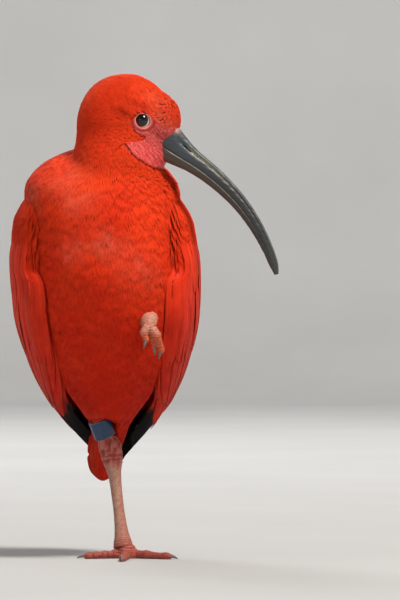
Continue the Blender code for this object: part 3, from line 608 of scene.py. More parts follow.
def spot(points, centre, radius):
    """1 at the centre of a soft spot, given in mm in the ground's frame, and 0 outside its radius."""
    return np.exp(-(((points - np.array(centre) * MM) ** 2).sum(-1)) / (radius * MM) ** 2)


# Pale places where the down shows through: centre and radius in mm, and strength.
PALE_SPOTS = (
    ((-50, -62, 341), 14, 0.55),
    ((-36, -74, 322), 12, 0.35),
    ((-18, -88, 292), 10, 0.4),
    ((-5, -90, 286), 8, 0.3),
    ((8, -92, 272), 16, 0.35),
    ((-42, -80, 284), 10, 0.3),
    ((22, -84, 260), 12, 0.25),
    ((-70, -40, 322), 12, 0.45),
    ((-28, -10, 134), 12, 0.3),
)


# Painted shadows behind each eye and under its brow, and a pale one before the bill: mm forward and up in the
# head's frame, half length, half height, strength.
HEAD_SHADOWS = ((9.0, 6.2, 7.0, 3.0, 0.7), (18.0, 17.0, 9.0, 2.4, 0.45))
HEAD_BLUSH = ((36.0, 17.0, 9.0, 5.0, 0.45), (24.0, 26.0, 10.0, 4.0, 0.25))


def head_marks(points):
    """How strong the painted shadows and the pale marks of the head are at points."""
    own = to_head(points)
    ahead, up = own[..., 0] / MM, own[..., 2] / MM
    sums = []
    for marks in (HEAD_SHADOWS, HEAD_BLUSH):
        total = np.zeros(ahead.shape)
        for middle, level, length, height, strength in marks:
            away = ((ahead - middle) / length) ** 2 + ((up - level) / height) ** 2
            total = total + strength * np.exp(-away)
        sums.append(np.clip(total, 0, 0.9)[..., None])
    return sums


def plume_colour(points):
    """The colour of the plumage at points on the body, the same for skin and feathers."""
    height = points[..., 2]
    clouds = 0.5 + 0.5 * waves(points, 38 * MM, 3)
    fine = 0.5 + 0.5 * waves(points, 11 * MM, 4)
    # Paler orange higher up is painted light from above. The clouds add a random orange tone that is the
    # plumage's own.
    warm_and_lit = np.clip(0.15 + 0.5 * smooth_step(height, 0.2, 0.4) + 0.35 * (clouds - 0.5), 0, 1)[..., None]
    colour = SCARLET * (1 - warm_and_lit) + ORANGE * warm_and_lit
    # Darker red low on the body is painted shade under the breast, with a little random tone.
    deep = np.clip(0.75 * smooth_step(-height, -0.28, -0.14) + 0.2 * (fine - 0.5), 0, 1)[..., None]
    colour = colour * (1 - deep) + SHADE_RED * deep
    pale = np.zeros(height.shape)
    for centre, radius, strength in PALE_SPOTS:
        pale = pale + strength * spot(points, centre, radius)
    pale = np.clip(pale * (0.4 + 1.1 * fine), 0, 0.8)[..., None]
    colour = colour * (1 - pale) + PALE * pale
    # The head's painted shadows darken the plumage behind and above each eye.
    shadow, blush = head_marks(points)
    colour = colour * (1 - blush) + PALE * blush
    return colour * (1 - shadow) + SHADE_RED * 0.5 * shadow


# The edge of the bare skin of the face, seen from the side, in mm forward and up in the head's frame.
BARE_EDGE = (
    (14.5, 4.0),
    (17.0, 12.0),
    (24.0, 14.6),
    (31.0, 13.4),
    (38.0, 11.4),
    (43.0, 12.6),
    (50.0, 16.0),
    (60.0, -6.0),
    (54.0, -24.0),
    (44.0, -25.0),
    (31.0, -22.8),
    (24.0, -19.0),
    (17.5, -15.4),
    (22.5, -12.0),
    (29.5, -8.0),
    (29.5, -4.6),
    (22.0, -4.4),
    (17.0, -1.2),
)
# The paler patch of loose skin below the corner of the mouth.
GULAR_EDGE = ((17.5, -15.4), (22.5, -12.0), (31.0, -8.0), (38.0, -8.5), (44.0, -9.0), (52.0, -14.0))
GULAR_EDGE += ((54.0, -24.0), (44.0, -25.0), (31.0, -22.8), (24.0, -19.0))


def inside(flat, edge):
    """Distance in mm into the polygon, negative outside it."""
    corners = np.array(edge, float)
    nearest = np.full(flat.shape[:-1], np.inf)
    crossings = np.zeros(flat.shape[:-1], int)
    for a, b in zip(corners, np.roll(corners, -1, 0)):
        way = b - a
        along = np.clip(((flat - a) @ way) / (way @ way), 0, 1)
        nearest = np.minimum(nearest, np.linalg.norm(flat - a - along[..., None] * way, axis=-1))
        spans = (flat[..., 1] < a[1]) != (flat[..., 1] < b[1])
        rise = way[1] if way[1] else 1e-9
        crossings += spans & (flat[..., 0] < a[0] + (flat[..., 1] - a[1]) * way[0] / rise)
    return np.where(crossings % 2 == 1, nearest, -nearest)


def face_place(points):
    own = to_head(points) / MM
    return own[..., [0, 2]], own[..., 1]


def bare_share(points):
    """1 on the bare skin of the face, 0 where feathers grow."""
    flat, _ = face_place(points)
    edge = inside(flat, BARE_EDGE) + 0.4 * waves(points, 5 * MM, 8)
    return smooth_step(edge, -0.8, 1.2)


def coat_depth(points):
    """How far the skin lies below the outer surface of the plumage."""
    away = np.linalg.norm(points - HEAD_CENTRE, axis=-1)
    depth = 1.5 + 1.6 * smooth_step(away, 34 * MM, 80 * MM)
    leg = taper(points, (-24, 3, 150), (-28, 4, 122), 14, 10)
    depth = depth - 1.6 * smooth_step(-leg, -6 * MM, 2 * MM)
    return depth * MM * (1 - 0.94 * bare_share(points))


# Skin


def eye_spot(side):
    flip = np.array([1, side, 1])
    return from_head(EYE_PLACE * flip), unit(EYE_OUT * flip) @ HEAD_AXES


LID_EDGE = 5.6 * MM  # half the height of the opening between the lids
LID_STRETCH, LID_AHEAD = 1.1, 0.6 * MM  # the opening is longer than high, and lies a little forward
LID_RING, LID_OUT, LID_THICK = 6.45 * MM, 3.6 * MM, 1.05 * MM


def eye_polar(points, side):
    """Distance along the way an eye looks, and from that line, as the oval between the lids measures it."""
    centre, out = eye_spot(side)
    reach = (points - centre) @ out
    off = points - centre - reach[:, None] * out
    ahead = unit(HEAD_AXES[0] - (HEAD_AXES[0] @ out) * out)
    forward = off @ ahead
    rest = np.linalg.norm(off - forward[:, None] * ahead, axis=1)
    return reach, np.hypot((forward - LID_AHEAD) / LID_STRETCH, rest)


def skin_field(points):
    value = body_field(points) + coat_depth(points)
    near = np.linalg.norm(points - HEAD_CENTRE, axis=1) < 48 * MM
    own = points[near]
    part = value[near]
    for side in (-1, 1):
        reach, round_eye = eye_polar(own, side)
        part = np.maximum(part, -np.maximum(round_eye - LID_EDGE - 0.3 * MM, 1.5 * MM - reach))
        lid = np.hypot(round_eye - LID_RING, reach - LID_OUT) - LID_THICK
        part = blend(part, lid, 0.8)
    value[near] = part
    return value


def face_relief(points):
    """Height of the folds and wrinkles of the bare skin."""
    flat, _ = face_place(points)
    forward, up = flat[..., 0], flat[..., 1]
    warp = waves(points, 8 * MM, 21)
    fold = np.sin((0.62 * forward + 0.78 * up) * 2 * math.pi / 2.7 + 1.5 * warp)
    gular = smooth_step(inside(flat, GULAR_EDGE), 0.0, 3.0)
    loose = 0.17 * fold * (0.7 + 0.5 * waves(points, 6 * MM, 26)) + 0.1 * waves(points, 1.7 * MM, 22)
    relief = gular * loose
    along, across = 0.8 * forward - 0.6 * up, 0.6 * forward + 0.8 * up
    drawn = np.stack([along * 0.3 + 0.8 * warp, across + 0.7 * warp, 0 * along], -1) * MM
    away = np.hypot(up - 6.4, forward - 22.5)
    rings = np.sin(away * 2 * math.pi / 1.6 + 1.8 * warp)
    lore = (1 - gular) * smooth_step(away, 7.6, 9.5)
    relief += lore * (0.16 * waves(drawn, 1.5 * MM, 24) + 0.13 * waves(points, 1.3 * MM, 23))
    relief += 0.12 * rings * smooth_step(away, 7.2, 8.2) * (1 - smooth_step(away, 10.5, 12.5))
    relief -= 0.5 * bell(away, 8.3, 0.7)
    return relief * MM * bare_share(points)


def skin_finish():
    """Skin under the feathers, and the bare face: deep pink, with a paler patch below the mouth's corner."""
    f = Finish("skin", 0.5, 0.35)
    bare, gular, ring = f.split(f.colour("Face"))
    fold = f.split(f.colour("Fold"))[0]
    fine = f.noise(f.place(), 900.0, 4.0, 0.6)
    blotch = f.noise(f.place(), 200.0, 3.0, 0.6)
    # The bare skin's colour follows the height of its folds: painted shade in the low parts of the folds and
    # wrinkles, and painted highlight on their ridges, with random blotches.
    height = f.math("ADD", f.math("MULTIPLY", fold, 0.75), f.math("MULTIPLY", blotch, 0.25))
    lore = f.ramp(height, (0.2, (0.36, 0.022, 0.018)), (0.5, (0.58, 0.06, 0.05)), (0.85, (0.74, 0.17, 0.15)))
    loose = f.ramp(height, (0.2, (0.45, 0.022, 0.02)), (0.5, (0.68, 0.055, 0.05)), (0.85, (0.84, 0.2, 0.18)))
    face = f.mix(lore, loose, gular)
    face = f.mix(face, (0.8, 0.3, 0.26), ring)
    face = f.times(face, f.ramp(fine, (0.3, 0.82), (0.7, 1.12)))
    # The skin under the feathers is the plumage's colour darkened: painted shade in the gaps between the
    # feathers.
    under = f.times(f.colour("Plume"), (0.6, 0.6, 0.6))
    pores = f.cells(f.place(), 1500.0)
    height = f.math("ADD", fine, f.math("MULTIPLY", pores, 0.6))
    return f.wear(f.mix(under, face, bare), f.bump(height, 0.12 * MM, 0.6))


def face_marks(points):
    """The marks of the face at points of the skin: bare, gular, and the pale ring round the eye."""
    flat, _ = face_place(points)
    rim = np.zeros(len(points))
    for side in (-1, 1):
        reach, round_eye = eye_polar(points, side)
        rim = np.maximum(rim, (reach > 2.6 * MM) * (1 - smooth_step(round_eye, 6.1 * MM, 6.8 * MM)))
    bare = bare_share(points)
    gular = smooth_step(inside(flat, GULAR_EDGE), -1.0, 2.5) * bare
    return np.stack([np.maximum(bare, rim), gular, rim * 0.85], -1)


FACE_LOW, FACE_HIGH = np.array([-2, -70, 330]) * MM, np.array([50, 4, 396]) * MM
SKIN_CELL, FACE_CELL = 2.6 * MM, 1.0 * MM


def make_skin():
    axes = [
        graded_axis(low, high, fine_low, fine_high, SKIN_CELL, FACE_CELL)
        for low, high, fine_low, fine_high in zip(BODY_LOW, BODY_HIGH, FACE_LOW, FACE_HIGH)
    ]
    points, quads = surface_net(skin_field, axes)
    bare = bare_share(points)
    near_eye = np.zeros(len(points), bool)
    for side in (-1, 1):
        reach, round_eye = eye_polar(points, side)
        near_eye |= (reach > 0) & (round_eye < 12 * MM)
    sizes = np.full(len(quads), 4)
    points, loops, sizes = refine(points, quads.ravel(), sizes, (bare > 0.02) | near_eye, 2)
    close = np.linalg.norm(points - HEAD_CENTRE, axis=1) < 75 * MM
    settled, out = settle(skin_field, points[close], rounds=3)
    relief = face_relief(settled)
    points[close] = settled + out * relief[:, None]
    # The height of the face's relief, which the skin's colour follows as painted shade and painted highlight.
    fold = np.full((len(points), 3), 0.5)
    fold[close] = np.clip(0.5 + relief / (0.9 * MM), 0, 1)[:, None]
    colours = {"Plume": plume_colour(points), "Face": face_marks(points), "Fold": fold}
    skin = add_mesh("skin", points, loops, sizes, skin_finish(), colours)
    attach(skin, "root")
    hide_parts("torso", "neck", "head")
    return skin


# Coat


def flow(points, normals):
    """The lie of the feathers: away from the bill over the head, then down the body and towards the tail."""
    source = from_head(np.array([62, 0, 4]) * MM)
    from_bill = unit(points - source)
    away = np.linalg.norm(points - HEAD_CENTRE, axis=-1)
    share = smooth_step(away, 26 * MM, 56 * MM)[..., None]
    down = np.array([0, 0.22, -1.0])
    way = from_bill * (1 - share) + down * share
    way = way - (way * normals).sum(-1, keepdims=True) * normals
    return unit(way)


def scatter(mesh, count, spacing, keep):
    """Points spread evenly over the mesh where keep allows, no closer than spacing, which may vary."""
    mesh.calc_loop_triangles()
    corners = np.zeros(len(mesh.loop_triangles) * 3, np.int32)
    mesh.loop_triangles.foreach_get("vertices", corners)
    points = np.zeros(len(mesh.vertices) * 3, np.float32)
    mesh.vertices.foreach_get("co", points)
    triangles = points.reshape(-1, 3).astype(float)[corners.reshape(-1, 3)]
    triangles = triangles[keep(triangles.mean(1))]
    first, second = triangles[:, 1] - triangles[:, 0], triangles[:, 2] - triangles[:, 0]
    area = np.linalg.norm(np.cross(first, second), axis=1)
    chosen = triangles[random.choice(len(triangles), count, p=area / area.sum())]
    a, b = random.random((2, count, 1))
    over = a + b > 1
    a, b = np.where(over, 1 - a, a), np.where(over, 1 - b, b)
    spread = chosen[:, 0] + a * (chosen[:, 1] - chosen[:, 0]) + b * (chosen[:, 2] - chosen[:, 0])
    apart = spacing(spread)
    cell = apart.min()
    taken, kept = {}, []
    for i, (point, gap) in enumerate(zip(spread, apart)):
        x, y, z = (int(v) for v in point // cell)
        reach = int(math.ceil(gap / cell))
        close = False
        for key in ((x + i, y + j, z + k) for i in range(-reach, reach + 1)
                    for j in range(-reach, reach + 1) for k in range(-reach, reach + 1)):
            other = taken.get(key)
            if other is not None and math.dist(other, point) < gap:
                close = True
                break
        if not close:
            taken[(x, y, z)] = point
            kept.append(i)
    return spread[kept]


def patch_map(roots, low, high, axis_place):
    """The root's place on an unwrap of the body round its upright middle line, from 0 to 1."""
    own = roots - axis_place
    turn = np.arctan2(own[:, 0], -own[:, 1])
    u = 0.5 + turn / (2 * math.pi)
    v = (roots[:, 2] - low) / (high - low)
    for values in (u, v):
        values -= values.min()
        values /= max(values.max(), 1e-6)
    return np.stack([u, v], -1) * 0.98 + 0.01


ROUND = 0.35  # how far the shading of a lock turns to its sides


def strands_mesh(name, centre, across, out, half, thick, colour, roots, finish):
    """Locks as thin closed bars: centre, across and out have the shape locks, stations, 3."""
    left = centre - across * half[..., None]
    right = centre + across * half[..., None]
    ridge = centre + out * thick[..., None]
    rings = np.stack([left, ridge, right], 2)
    facing = np.stack([out - ROUND * across, out, out + ROUND * across], 2)
    count, stations = centre.shape[:2]
    along = np.broadcast_to(np.linspace(0, 1, stations)[None, :, None], rings.shape[:3])
    over = np.broadcast_to(np.array([-1.0, 0, 1.0])[None, None], rings.shape[:3])
    vane = np.stack([over * 0.5 + random.random((count, 1, 1)) * 40, along], -1)
    spots = patch_map(roots, roots[:, 2].min(), roots[:, 2].max(), BODY_PLACE)
    bake = spots[:, None, None] + np.stack([over, along * 2 - 1], -1) * 0.0015
    shade = np.broadcast_to(colour[:, None, None], (*rings.shape[:3], 3))
    locks = add_lofts(name, rings, finish, {"Plume": shade}, {"OFBake": bake, "Vane": vane})
    locks.data.normals_split_custom_set_from_vertices(unit(facing).reshape(-1, 3))
    return locks


LOCK_STEPS = np.array([0.0, 0.35, 0.7, 1.0])
LOCK_LEVELS = np.array([0.0, 0.52, 0.83, 1.0])  # how far it has risen from the skin at each step
LOCK_WIDTHS = np.array([0.7, 1.0, 0.8, 0.1])
LOCK_THICKNESS = np.array([0.5, 1.0, 0.7, 0.12])
LOCK_OVERLAP = 1.3  # how far neighbouring locks of a feather lie over one another


def feather_fans(field, lie, roots, depth, length, width, locks, rise, thick):
    """Small body feathers. Each is a fan of locks that rises by depth from its root on the skin. field is the
    surface they lie on and lie(points, normals) the way they point. The sizes are given for each root."""
    low = field(roots)
    normal = settle(field, roots, low)[1]
    way = lie(roots, normal)
    side = np.cross(way, normal)
    way = unit(way + side * random.normal(0, 0.07, (len(roots), 1)))
    side = np.cross(way, normal)
    centre = [roots]
    point, ahead = roots, way
    for step in np.diff(LOCK_STEPS):
        point, normal_here = settle(field, point + ahead * (step * length)[:, None], low + depth * 0.5)
        ahead = unit(0.5 * lie(point, normal_here) + 0.5 * ahead)
        ahead = unit(ahead - (ahead * normal_here).sum(1, keepdims=True) * normal_here)
        centre.append(point)
    centre = np.stack(centre, 1)
    place = np.linspace(-1, 1, locks)
    fan = 0.3 + 0.7 * LOCK_STEPS
    short = 1 - 0.2 * place**2 + random.normal(0, 0.07, (len(roots), locks))
    base = lerp_path(centre, LOCK_STEPS[None, None] * np.clip(short, 0.5, 1)[..., None])
    offset = side[:, None, None] * (place[None, :, None] * fan[None, None] * width[:, None, None])[..., None]
    points = base + offset
    jitter = random.normal(0, 0.03, (len(roots), 1, 1)) * depth[:, None, None]
    height = (depth + rise)[:, None, None] + jitter
    level = low[:, None, None] + height * LOCK_LEVELS
    level = level - (0.1 * depth[:, None, None] * place[None, :, None] ** 2) * LOCK_STEPS
    flat, out = settle(field, points.reshape(-1, 3), level.reshape(-1))
    points = flat.reshape(-1, len(LOCK_STEPS), 3)
    out = out.reshape(points.shape)
    ahead = unit(np.gradient(points, axis=1))
    across = unit(np.cross(ahead, out))
    lock_width = np.repeat(width / locks * LOCK_OVERLAP, locks)
    half = lock_width[:, None] * LOCK_WIDTHS
    thickness = thick * LOCK_THICKNESS[None] * np.ones(len(half))[:, None]
    return points, across, out, half, thickness, np.repeat(np.arange(len(roots)), locks)


def lerp_path(path, along):
    """Points of each path at shares of its length. path is N, K, 3 and along is N, M, K."""
    i = np.clip(np.searchsorted(LOCK_STEPS, along, side="right") - 1, 0, len(LOCK_STEPS) - 2)
    t = (along - LOCK_STEPS[i]) / (LOCK_STEPS[i + 1] - LOCK_STEPS[i])
    row = np.arange(len(path))[:, None, None]
    return path[row, i] * (1 - t[..., None]) + path[row, i + 1] * t[..., None]


def under_wing(points):
    """True where a folded wing hides the body."""
    own = to_body(points)
    height = own[:, 2] / MM
    front, back = (smooth_curve(height, WING_SHELL, column) * MM for column in (2, 3))
    angle = np.degrees(np.arctan2(np.abs(own[:, 0]), (front + back) / 2 - own[:, 1]))
    low, high = (smooth_curve(height, WING_REACH, column) for column in (1, 2))
    return (angle > low + 14) & (angle < high - 12) & (height < 312)


COAT_RISE = 0.1 * MM  # how far the tips of the feathers stand off the plumage's outer surface
BODY_GAP, FINER, HEAD_GAP = 4.1, 2.6, 1.5  # spacing of the feathers in mm, and how much finer near the head


def coat_piece(name, roots, length, width, locks, thick, finish):
    points, across, out, half, thickness, owner = feather_fans(
        body_field, flow, roots, coat_depth(roots), length, width, locks, COAT_RISE, thick
    )
    shade = feather_shades(plume_colour(roots), owner)
    coat = strands_mesh(name, points, across, out, half, thickness, shade, roots[owner], finish)
    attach(coat, "root")
    return coat


def feather_shades(colour, owner):
    """The colour of each lock: each feather differs a little, and so does each lock in it."""
    tone = 1 + random.normal(0, 0.03, (len(colour), 1))
    return np.clip((colour * tone)[owner] * (1 + random.normal(0, 0.025, (len(owner), 1))), 0, 1)


def head_reach(points):
    """1 on the head and down to 0 on the lower neck."""
    away = np.linalg.norm((points - HEAD_CENTRE) * (1, 1, 1.15), axis=-1)
    flat, _ = face_place(points)
    near_face = smooth_step(inside(flat, BARE_EDGE), -20, -9) * (away < 75 * MM)
    share = 1 - smooth_step(away - 0.4 * np.clip(flat[..., 0], 0, 60) * MM, 34 * MM, 74 * MM)
    return np.maximum(share, near_face)


def make_coat(skin, finish):
    """The small feathers of the head, neck and body. They are finest on the head."""
    mesh = skin.data

    def body_gap(points):
        return (BODY_GAP - FINER * head_reach(points)) * MM

    def on_body(points):
        return (head_reach(points) < 0.96) & ~under_wing(points) & (bare_share(points) < 0.3)

    roots = scatter(mesh, 90000, body_gap, on_body)
    size = 1 - head_reach(roots)
    length = (7.5 + 19 * size) * MM * random.uniform(0.85, 1.15, len(roots))
    width = (1.7 + 4.0 * size) * MM * random.uniform(0.85, 1.15, len(roots))
    own = to_body(roots)
    groups = {
        "coat_neck": roots[:, 2] > 0.33,
        "coat_breast": (own[:, 1] < 12 * MM) & (roots[:, 2] > 0.235),
        "coat_belly": (own[:, 1] < 12 * MM) & (roots[:, 2] <= 0.235),
        "coat_back": (own[:, 1] >= 12 * MM) & (roots[:, 2] > 0.235),
        "coat_vent": (own[:, 1] >= 12 * MM) & (roots[:, 2] <= 0.235),
    }
    free = np.ones(len(roots), bool)
    for name, chosen in groups.items():
        chosen = chosen & free
        free &= ~chosen
        locks = 5 if name == "coat_neck" else 10
        coat_piece(name, roots[chosen], length[chosen], width[chosen], locks, 0.2 * MM, finish)

    def on_head(points):
        return (head_reach(points) >= 0.95) & (bare_share(points) < 0.25)

    roots = scatter(mesh, 60000, lambda points: np.full(len(points), HEAD_GAP * MM), on_head)
    length = random.uniform(5.5, 8.0, len(roots)) * MM
    width = np.full(len(roots), 1.0 * MM)
    coat_piece("coat_head", roots, length, width, 3, 0.12 * MM, finish)


# Wings


def shell_field(own):
    """The outer shell of the folded wings, at points of the body's frame."""
    return oval_field(own, WING_SHELL)


def shell_point(share, height, lift=0.0):
    """A point of the left wing's shell, in the body's frame. share runs from the wing's front edge to its
    back edge, height is in mm, and lift is the distance outside the shell in mm."""
    share, height, lift = np.broadcast_arrays(*(np.asarray(v, float) for v in (share, height, lift)))

    def surface(share, height):
        front_edge, back_edge = (smooth_curve(height, WING_REACH, column) for column in (1, 2))
        angle = np.radians(front_edge + (back_edge - front_edge) * share)
        half, front, back = (smooth_curve(height, WING_SHELL, column) for column in (1, 2, 3))
        depth = (back - front) / 2
        return np.stack([half * np.sin(angle), (front + back) / 2 - depth * np.cos(angle), height], -1)

    here = surface(share, height)
    across = surface(share + 0.01, height) - surface(share - 0.01, height)
    down = surface(share, height - 2.0) - surface(share, height + 2.0)
    out = unit(np.cross(down, across))
    return (here + out * lift[..., None]) * MM


def wing_lie(points, normals):
    """The coverts point down, and a little back where the wing turns to the side."""
    way = np.broadcast_to(np.array([0, 0.1, -1.0]), points.shape)
    return unit(way - (way * normals).sum(-1, keepdims=True) * normals)


VANE_STATIONS = 24
VANE_TOP = np.linspace(-1, 1, 11)
VANE_UNDER = np.array([0.7, 0.35, 0.0, -0.35, -0.7])
VANE_ACROSS = np.concatenate([VANE_TOP, VANE_UNDER])
VANE_OUTLINE = ((0, 0.5), (0.15, 0.8), (0.45, 1.0), (0.7, 0.93), (0.85, 0.72), (0.95, 0.42), (1, 0.08))


def vane_section(stations, half, thick, notches):
    """How far each point of a large feather's sections lies across and above its middle line. It is a thin
    bowed plate with a raised shaft, split here and there along its edges."""
    share = np.linspace(0, 1, stations)[:, None]
    reach = np.broadcast_to(VANE_ACROSS, (stations, len(VANE_ACROSS))).copy()
    for _ in range(notches):
        place, edge, size = random.uniform(0.35, 0.95), random.choice([-1, 1]), random.uniform(0.08, 0.2)
        dip = bell(share, place, 0.022) * size
        reach -= dip * edge * np.clip(VANE_ACROSS * edge, 0, 1) ** 3
    width = half * smooth_curve(share, VANE_OUTLINE)
    shaft = bell(VANE_TOP, 0, 0.09) * 0.45 * (1 - 0.7 * share)
    grid = np.stack([VANE_TOP * 2 + 0 * share, share * 9 + 0 * VANE_TOP, 0 * share * VANE_TOP], -1)
    ripple = 0.14 * waves(grid, 1.3, int(random.integers(1000)))
    top = thick * (0.35 + 0.45 * (1 - VANE_TOP**2) + shaft + ripple)
    under = -thick * 0.45 * (1 - VANE_UNDER**2) * np.ones((stations, 1))
    height = np.concatenate([top, under], 1) * (1 - 0.75 * share**6)
    return width * reach, height


def vane_rings(centre, normal, half, thick, roll, bow, notches):
    """A large feather along a path, rolled about it and bowed across."""
    along = unit(np.gradient(centre, axis=0))
    across = unit(np.cross(normal, along))
    normal = np.cross(along, across)
    tilt = across * math.cos(roll) + normal * math.sin(roll)
    lift = np.cross(along, tilt)
    offset, height = vane_section(len(centre), half, thick, notches)
    droop = bow * np.abs(offset) ** 2 / half
    return centre[:, None] + tilt[:, None] * offset[..., None] + lift[:, None] * (height - droop)[..., None]


WING_RIM = ((-0.04, -11), (0, -6.5), (0.03, -3.0), (0.08, -0.4), (0.9, -0.2), (0.97, -1.5), (1.02, -6.0))


def wing_edge(share):
    """How the wing falls away at its front and back edges, in mm."""
    return np.interp(share, *zip(*WING_RIM))


def shell_vane(share, height, lift, half, notches):
    """A feather that lies along the wing's shell, its front edge over the feather before it."""
    step = shell_point(share + 0.01, height) - shell_point(share - 0.01, height)
    arc = np.linalg.norm(step, axis=-1) / 0.02
    offset, thick = vane_section(len(share), half * MM, 0.42 * MM, notches)
    place = share[:, None] + offset / arc[:, None]
    level = lift[:, None] - offset / MM * 0.07 - 0.35 * np.abs(VANE_ACROSS) ** 3 + wing_edge(place)
    return shell_point(place, np.repeat(height[:, None], place.shape[1], 1), level + thick / MM)


VANE_PATCH = 0.012  # half the size of a large feather's patch on the map


def vanes_mesh(name, rings, colours, roots, finish, side):
    """One mesh of large feathers, moved from the left wing's place in the body's frame to the side given."""
    count, stations, sides = rings.shape[:3]
    placed = from_body(rings * (side, 1, 1))
    along = np.broadcast_to(np.linspace(0, 1, stations)[None, :, None], (count, stations, sides))
    over = np.broadcast_to(VANE_ACROSS[None, None], (count, stations, sides))
    vane = np.stack([over + 3 * np.arange(count)[:, None, None], along + 0 * over], -1)
    spots = patch_map(roots, roots[:, 2].min(), roots[:, 2].max(), BODY_PLACE)
    bake = spots[:, None, None] + np.stack([over, along * 2 - 1], -1) * VANE_PATCH
    return add_lofts(name, placed, finish, {"Plume": colours}, {"OFBake": bake, "Vane": vane})


# Rows of large wing feathers, from the innermost: count, first and last share, heights of root and tip at the
# wing's front and back, how much the tips vary, half width, and lift at root, middle and tip, all in mm.
WING_ROWS = (
    dict(name="primaries", count=7, shares=(0.05, 0.66), root=(188, 186), tip=(92, 73), vary=2,
         half=8.5, lift=(-9, -6.6, -6.2)),
    dict(name="tertials", count=12, shares=(0.06, 0.95), root=(215, 212), tip=(113, 97), vary=5,
         half=9.0, lift=(-7, -4.0, -4.2)),
    dict(name="secondaries", count=16, shares=(0.05, 0.95), root=(245, 240), tip=(134, 118), vary=7,
         half=8.0, lift=(-6.0, -2.6, -3.1)),
    dict(name="coverts_long", count=17, shares=(0.1, 0.95), root=(272, 268), tip=(176, 172), vary=12,
         half=6.8, lift=(-4.8, -1.5, -1.9)),
    dict(name="coverts_middle", count=17, shares=(0.1, 0.94), root=(292, 288), tip=(222, 214), vary=10,
         half=6.4, lift=(-4.2, -0.8, -1.0)),
    dict(name="front_coverts", count=4, shares=(0.025, 0.1), root=(268, 270), tip=(160, 172), vary=1,
         half=5.6, lift=(-3.4, 0.3, -0.4)),
)


def vane_colours(name, rings, side):
    """Scarlet vanes with paler edges, and black ends on the primaries."""
    placed = from_body(rings * (side, 1, 1))
    colour = plume_colour(placed)
    tone = 1 + random.normal(0, 0.07, (len(rings), 1, 1, 1))
    edge = smooth_step(np.abs(VANE_ACROSS), 0.72, 1.0)[None, None, :, None]
    share = np.linspace(0, 1, rings.shape[1])[None, :, None, None]
    fringe = edge * random.uniform(0.0, 0.8, (len(rings), 1, 1, 1)) ** 1.7 * (0.4 + 0.6 * share)
    streak = np.clip(waves(placed * (1, 1, 0.18), 5 * MM, 31), 0, 1)[..., None] * 0.1
    pale = np.clip(fringe + streak, 0, 0.7)
    colour = np.clip(colour * tone, 0, 1) * (1 - pale) + np.array([0.9, 0.12, 0.045]) * pale
    if name == "primaries":
        start = 130 * MM + 5 * MM * waves(placed * (1, 1, 0.2), 6 * MM, 32)
        black = smooth_step(-rings[..., 2], -start - 3 * MM, -start + 4 * MM)[..., None]
        colour = colour * (1 - black) + BLACK * black
    return colour


def make_flight_feathers(side, name, finish):
    t = np.linspace(0, 1, VANE_STATIONS)
    for row in WING_ROWS:
        rings, roots = [], []
        for place in np.linspace(0, 1, row["count"]):
            share = row["shares"][0] + (row["shares"][1] - row["shares"][0]) * place
            root, tip = (row[key][0] + (row[key][1] - row[key][0]) * place for key in ("root", "tip"))
            tip += random.uniform(-1, 1) * row["vary"]
            height = root + (tip - root) * t
            sway = share + random.normal(0, 0.01) * t
            lift = np.interp(t, [0, 0.45, 1], row["lift"])
            half = row["half"] * random.uniform(0.9, 1.1)
            rings.append(shell_vane(sway, height, lift, half, random.integers(1, 5)))
            roots.append(from_body(rings[-1][0, 5] * (side, 1, 1)))
        rings = np.array(rings)
        colours = vane_colours(row["name"], rings, side)
        piece = vanes_mesh(row["name"] + "_" + name, rings, colours, np.array(roots), finish, side)
        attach(piece, "root")


def make_wing_core(side, name, finish):
    """The smooth body of a wing, under its feathers."""
    shares = np.concatenate([[0, 0.012, 0.03, 0.06], np.linspace(0.1, 0.9, 26), [0.94, 0.97, 0.988, 1.0]])
    heights = np.linspace(326, 138, 64)
    edge = wing_edge(shares)
    end = np.interp(heights, [138, 150, 300, 318, 326], [-6.0, 0, 0, -3.5, -10])
    drop = np.interp(heights, [138, 180, 200, 236, 262, 330], [-10.0, -9.0, -7.5, -6.2, -4.4, -2.2])
    share, height = np.meshgrid(shares, heights)
    rim = smooth_curve(shares, ((0, 294), (0.05, 306), (0.12, 313), (0.3, 320), (1, 320)))
    over = np.clip((height - rim[None] + 7) / 7, 0, 2.2)
    outer = shell_point(share, height, drop[:, None] + edge[None] + end[:, None] - 3.2 * over**2)
    inner = shell_point(share, height, np.full_like(share, -26.0))
    rings = np.concatenate([outer, inner[:, ::-1]], 1)
    placed = from_body(rings * (side, 1, 1))
    # The core is the plumage's colour darkened: painted shade where it shows between the feathers.
    core = add_lofts("wing_core_" + name, placed, finish, {"Plume": plume_colour(placed) * 0.8})
    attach(core, "root")
    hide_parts("wing_" + name)
    return core


def make_coverts(side, name, core, finish):
    """The small feathers of the wing's upper part and its front edge."""

    def on_wing(points):
        own = to_body(points)
        own[:, 0] *= side
        return (shell_field(own) > -14 * MM) & (own[:, 0] > 0) & (own[:, 2] > 252 * MM)

    roots = scatter(core.data, 20000, lambda p: np.full(len(p), 3.2 * MM), on_wing)
    own = to_body(roots)
    own[:, 0] *= side
    size = smooth_step(-own[:, 2], -0.31, -0.25)
    length = (13 + 7 * size) * MM * random.uniform(0.85, 1.15, len(own))
    width = (3.4 + 1.2 * size) * MM * random.uniform(0.85, 1.15, len(own))
    depth = np.full(len(own), 2.4 * MM)
    points, across, out, half, thickness, owner = feather_fans(
        shell_field, wing_lie, own, depth, length, width, 7, 0.0, 0.2 * MM
    )
    flip = np.array([side, 1, 1])
    shade = feather_shades(plume_colour(roots), owner)
    turned = from_body((points + across * MM) * flip), from_body((points + out * MM) * flip)
    points = from_body(points * flip)
    across, out = (unit(t - points) for t in turned)
    coat = strands_mesh("coverts_" + name, points, across, out, half, thickness, shade, roots[owner], finish)
    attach(coat, "root")


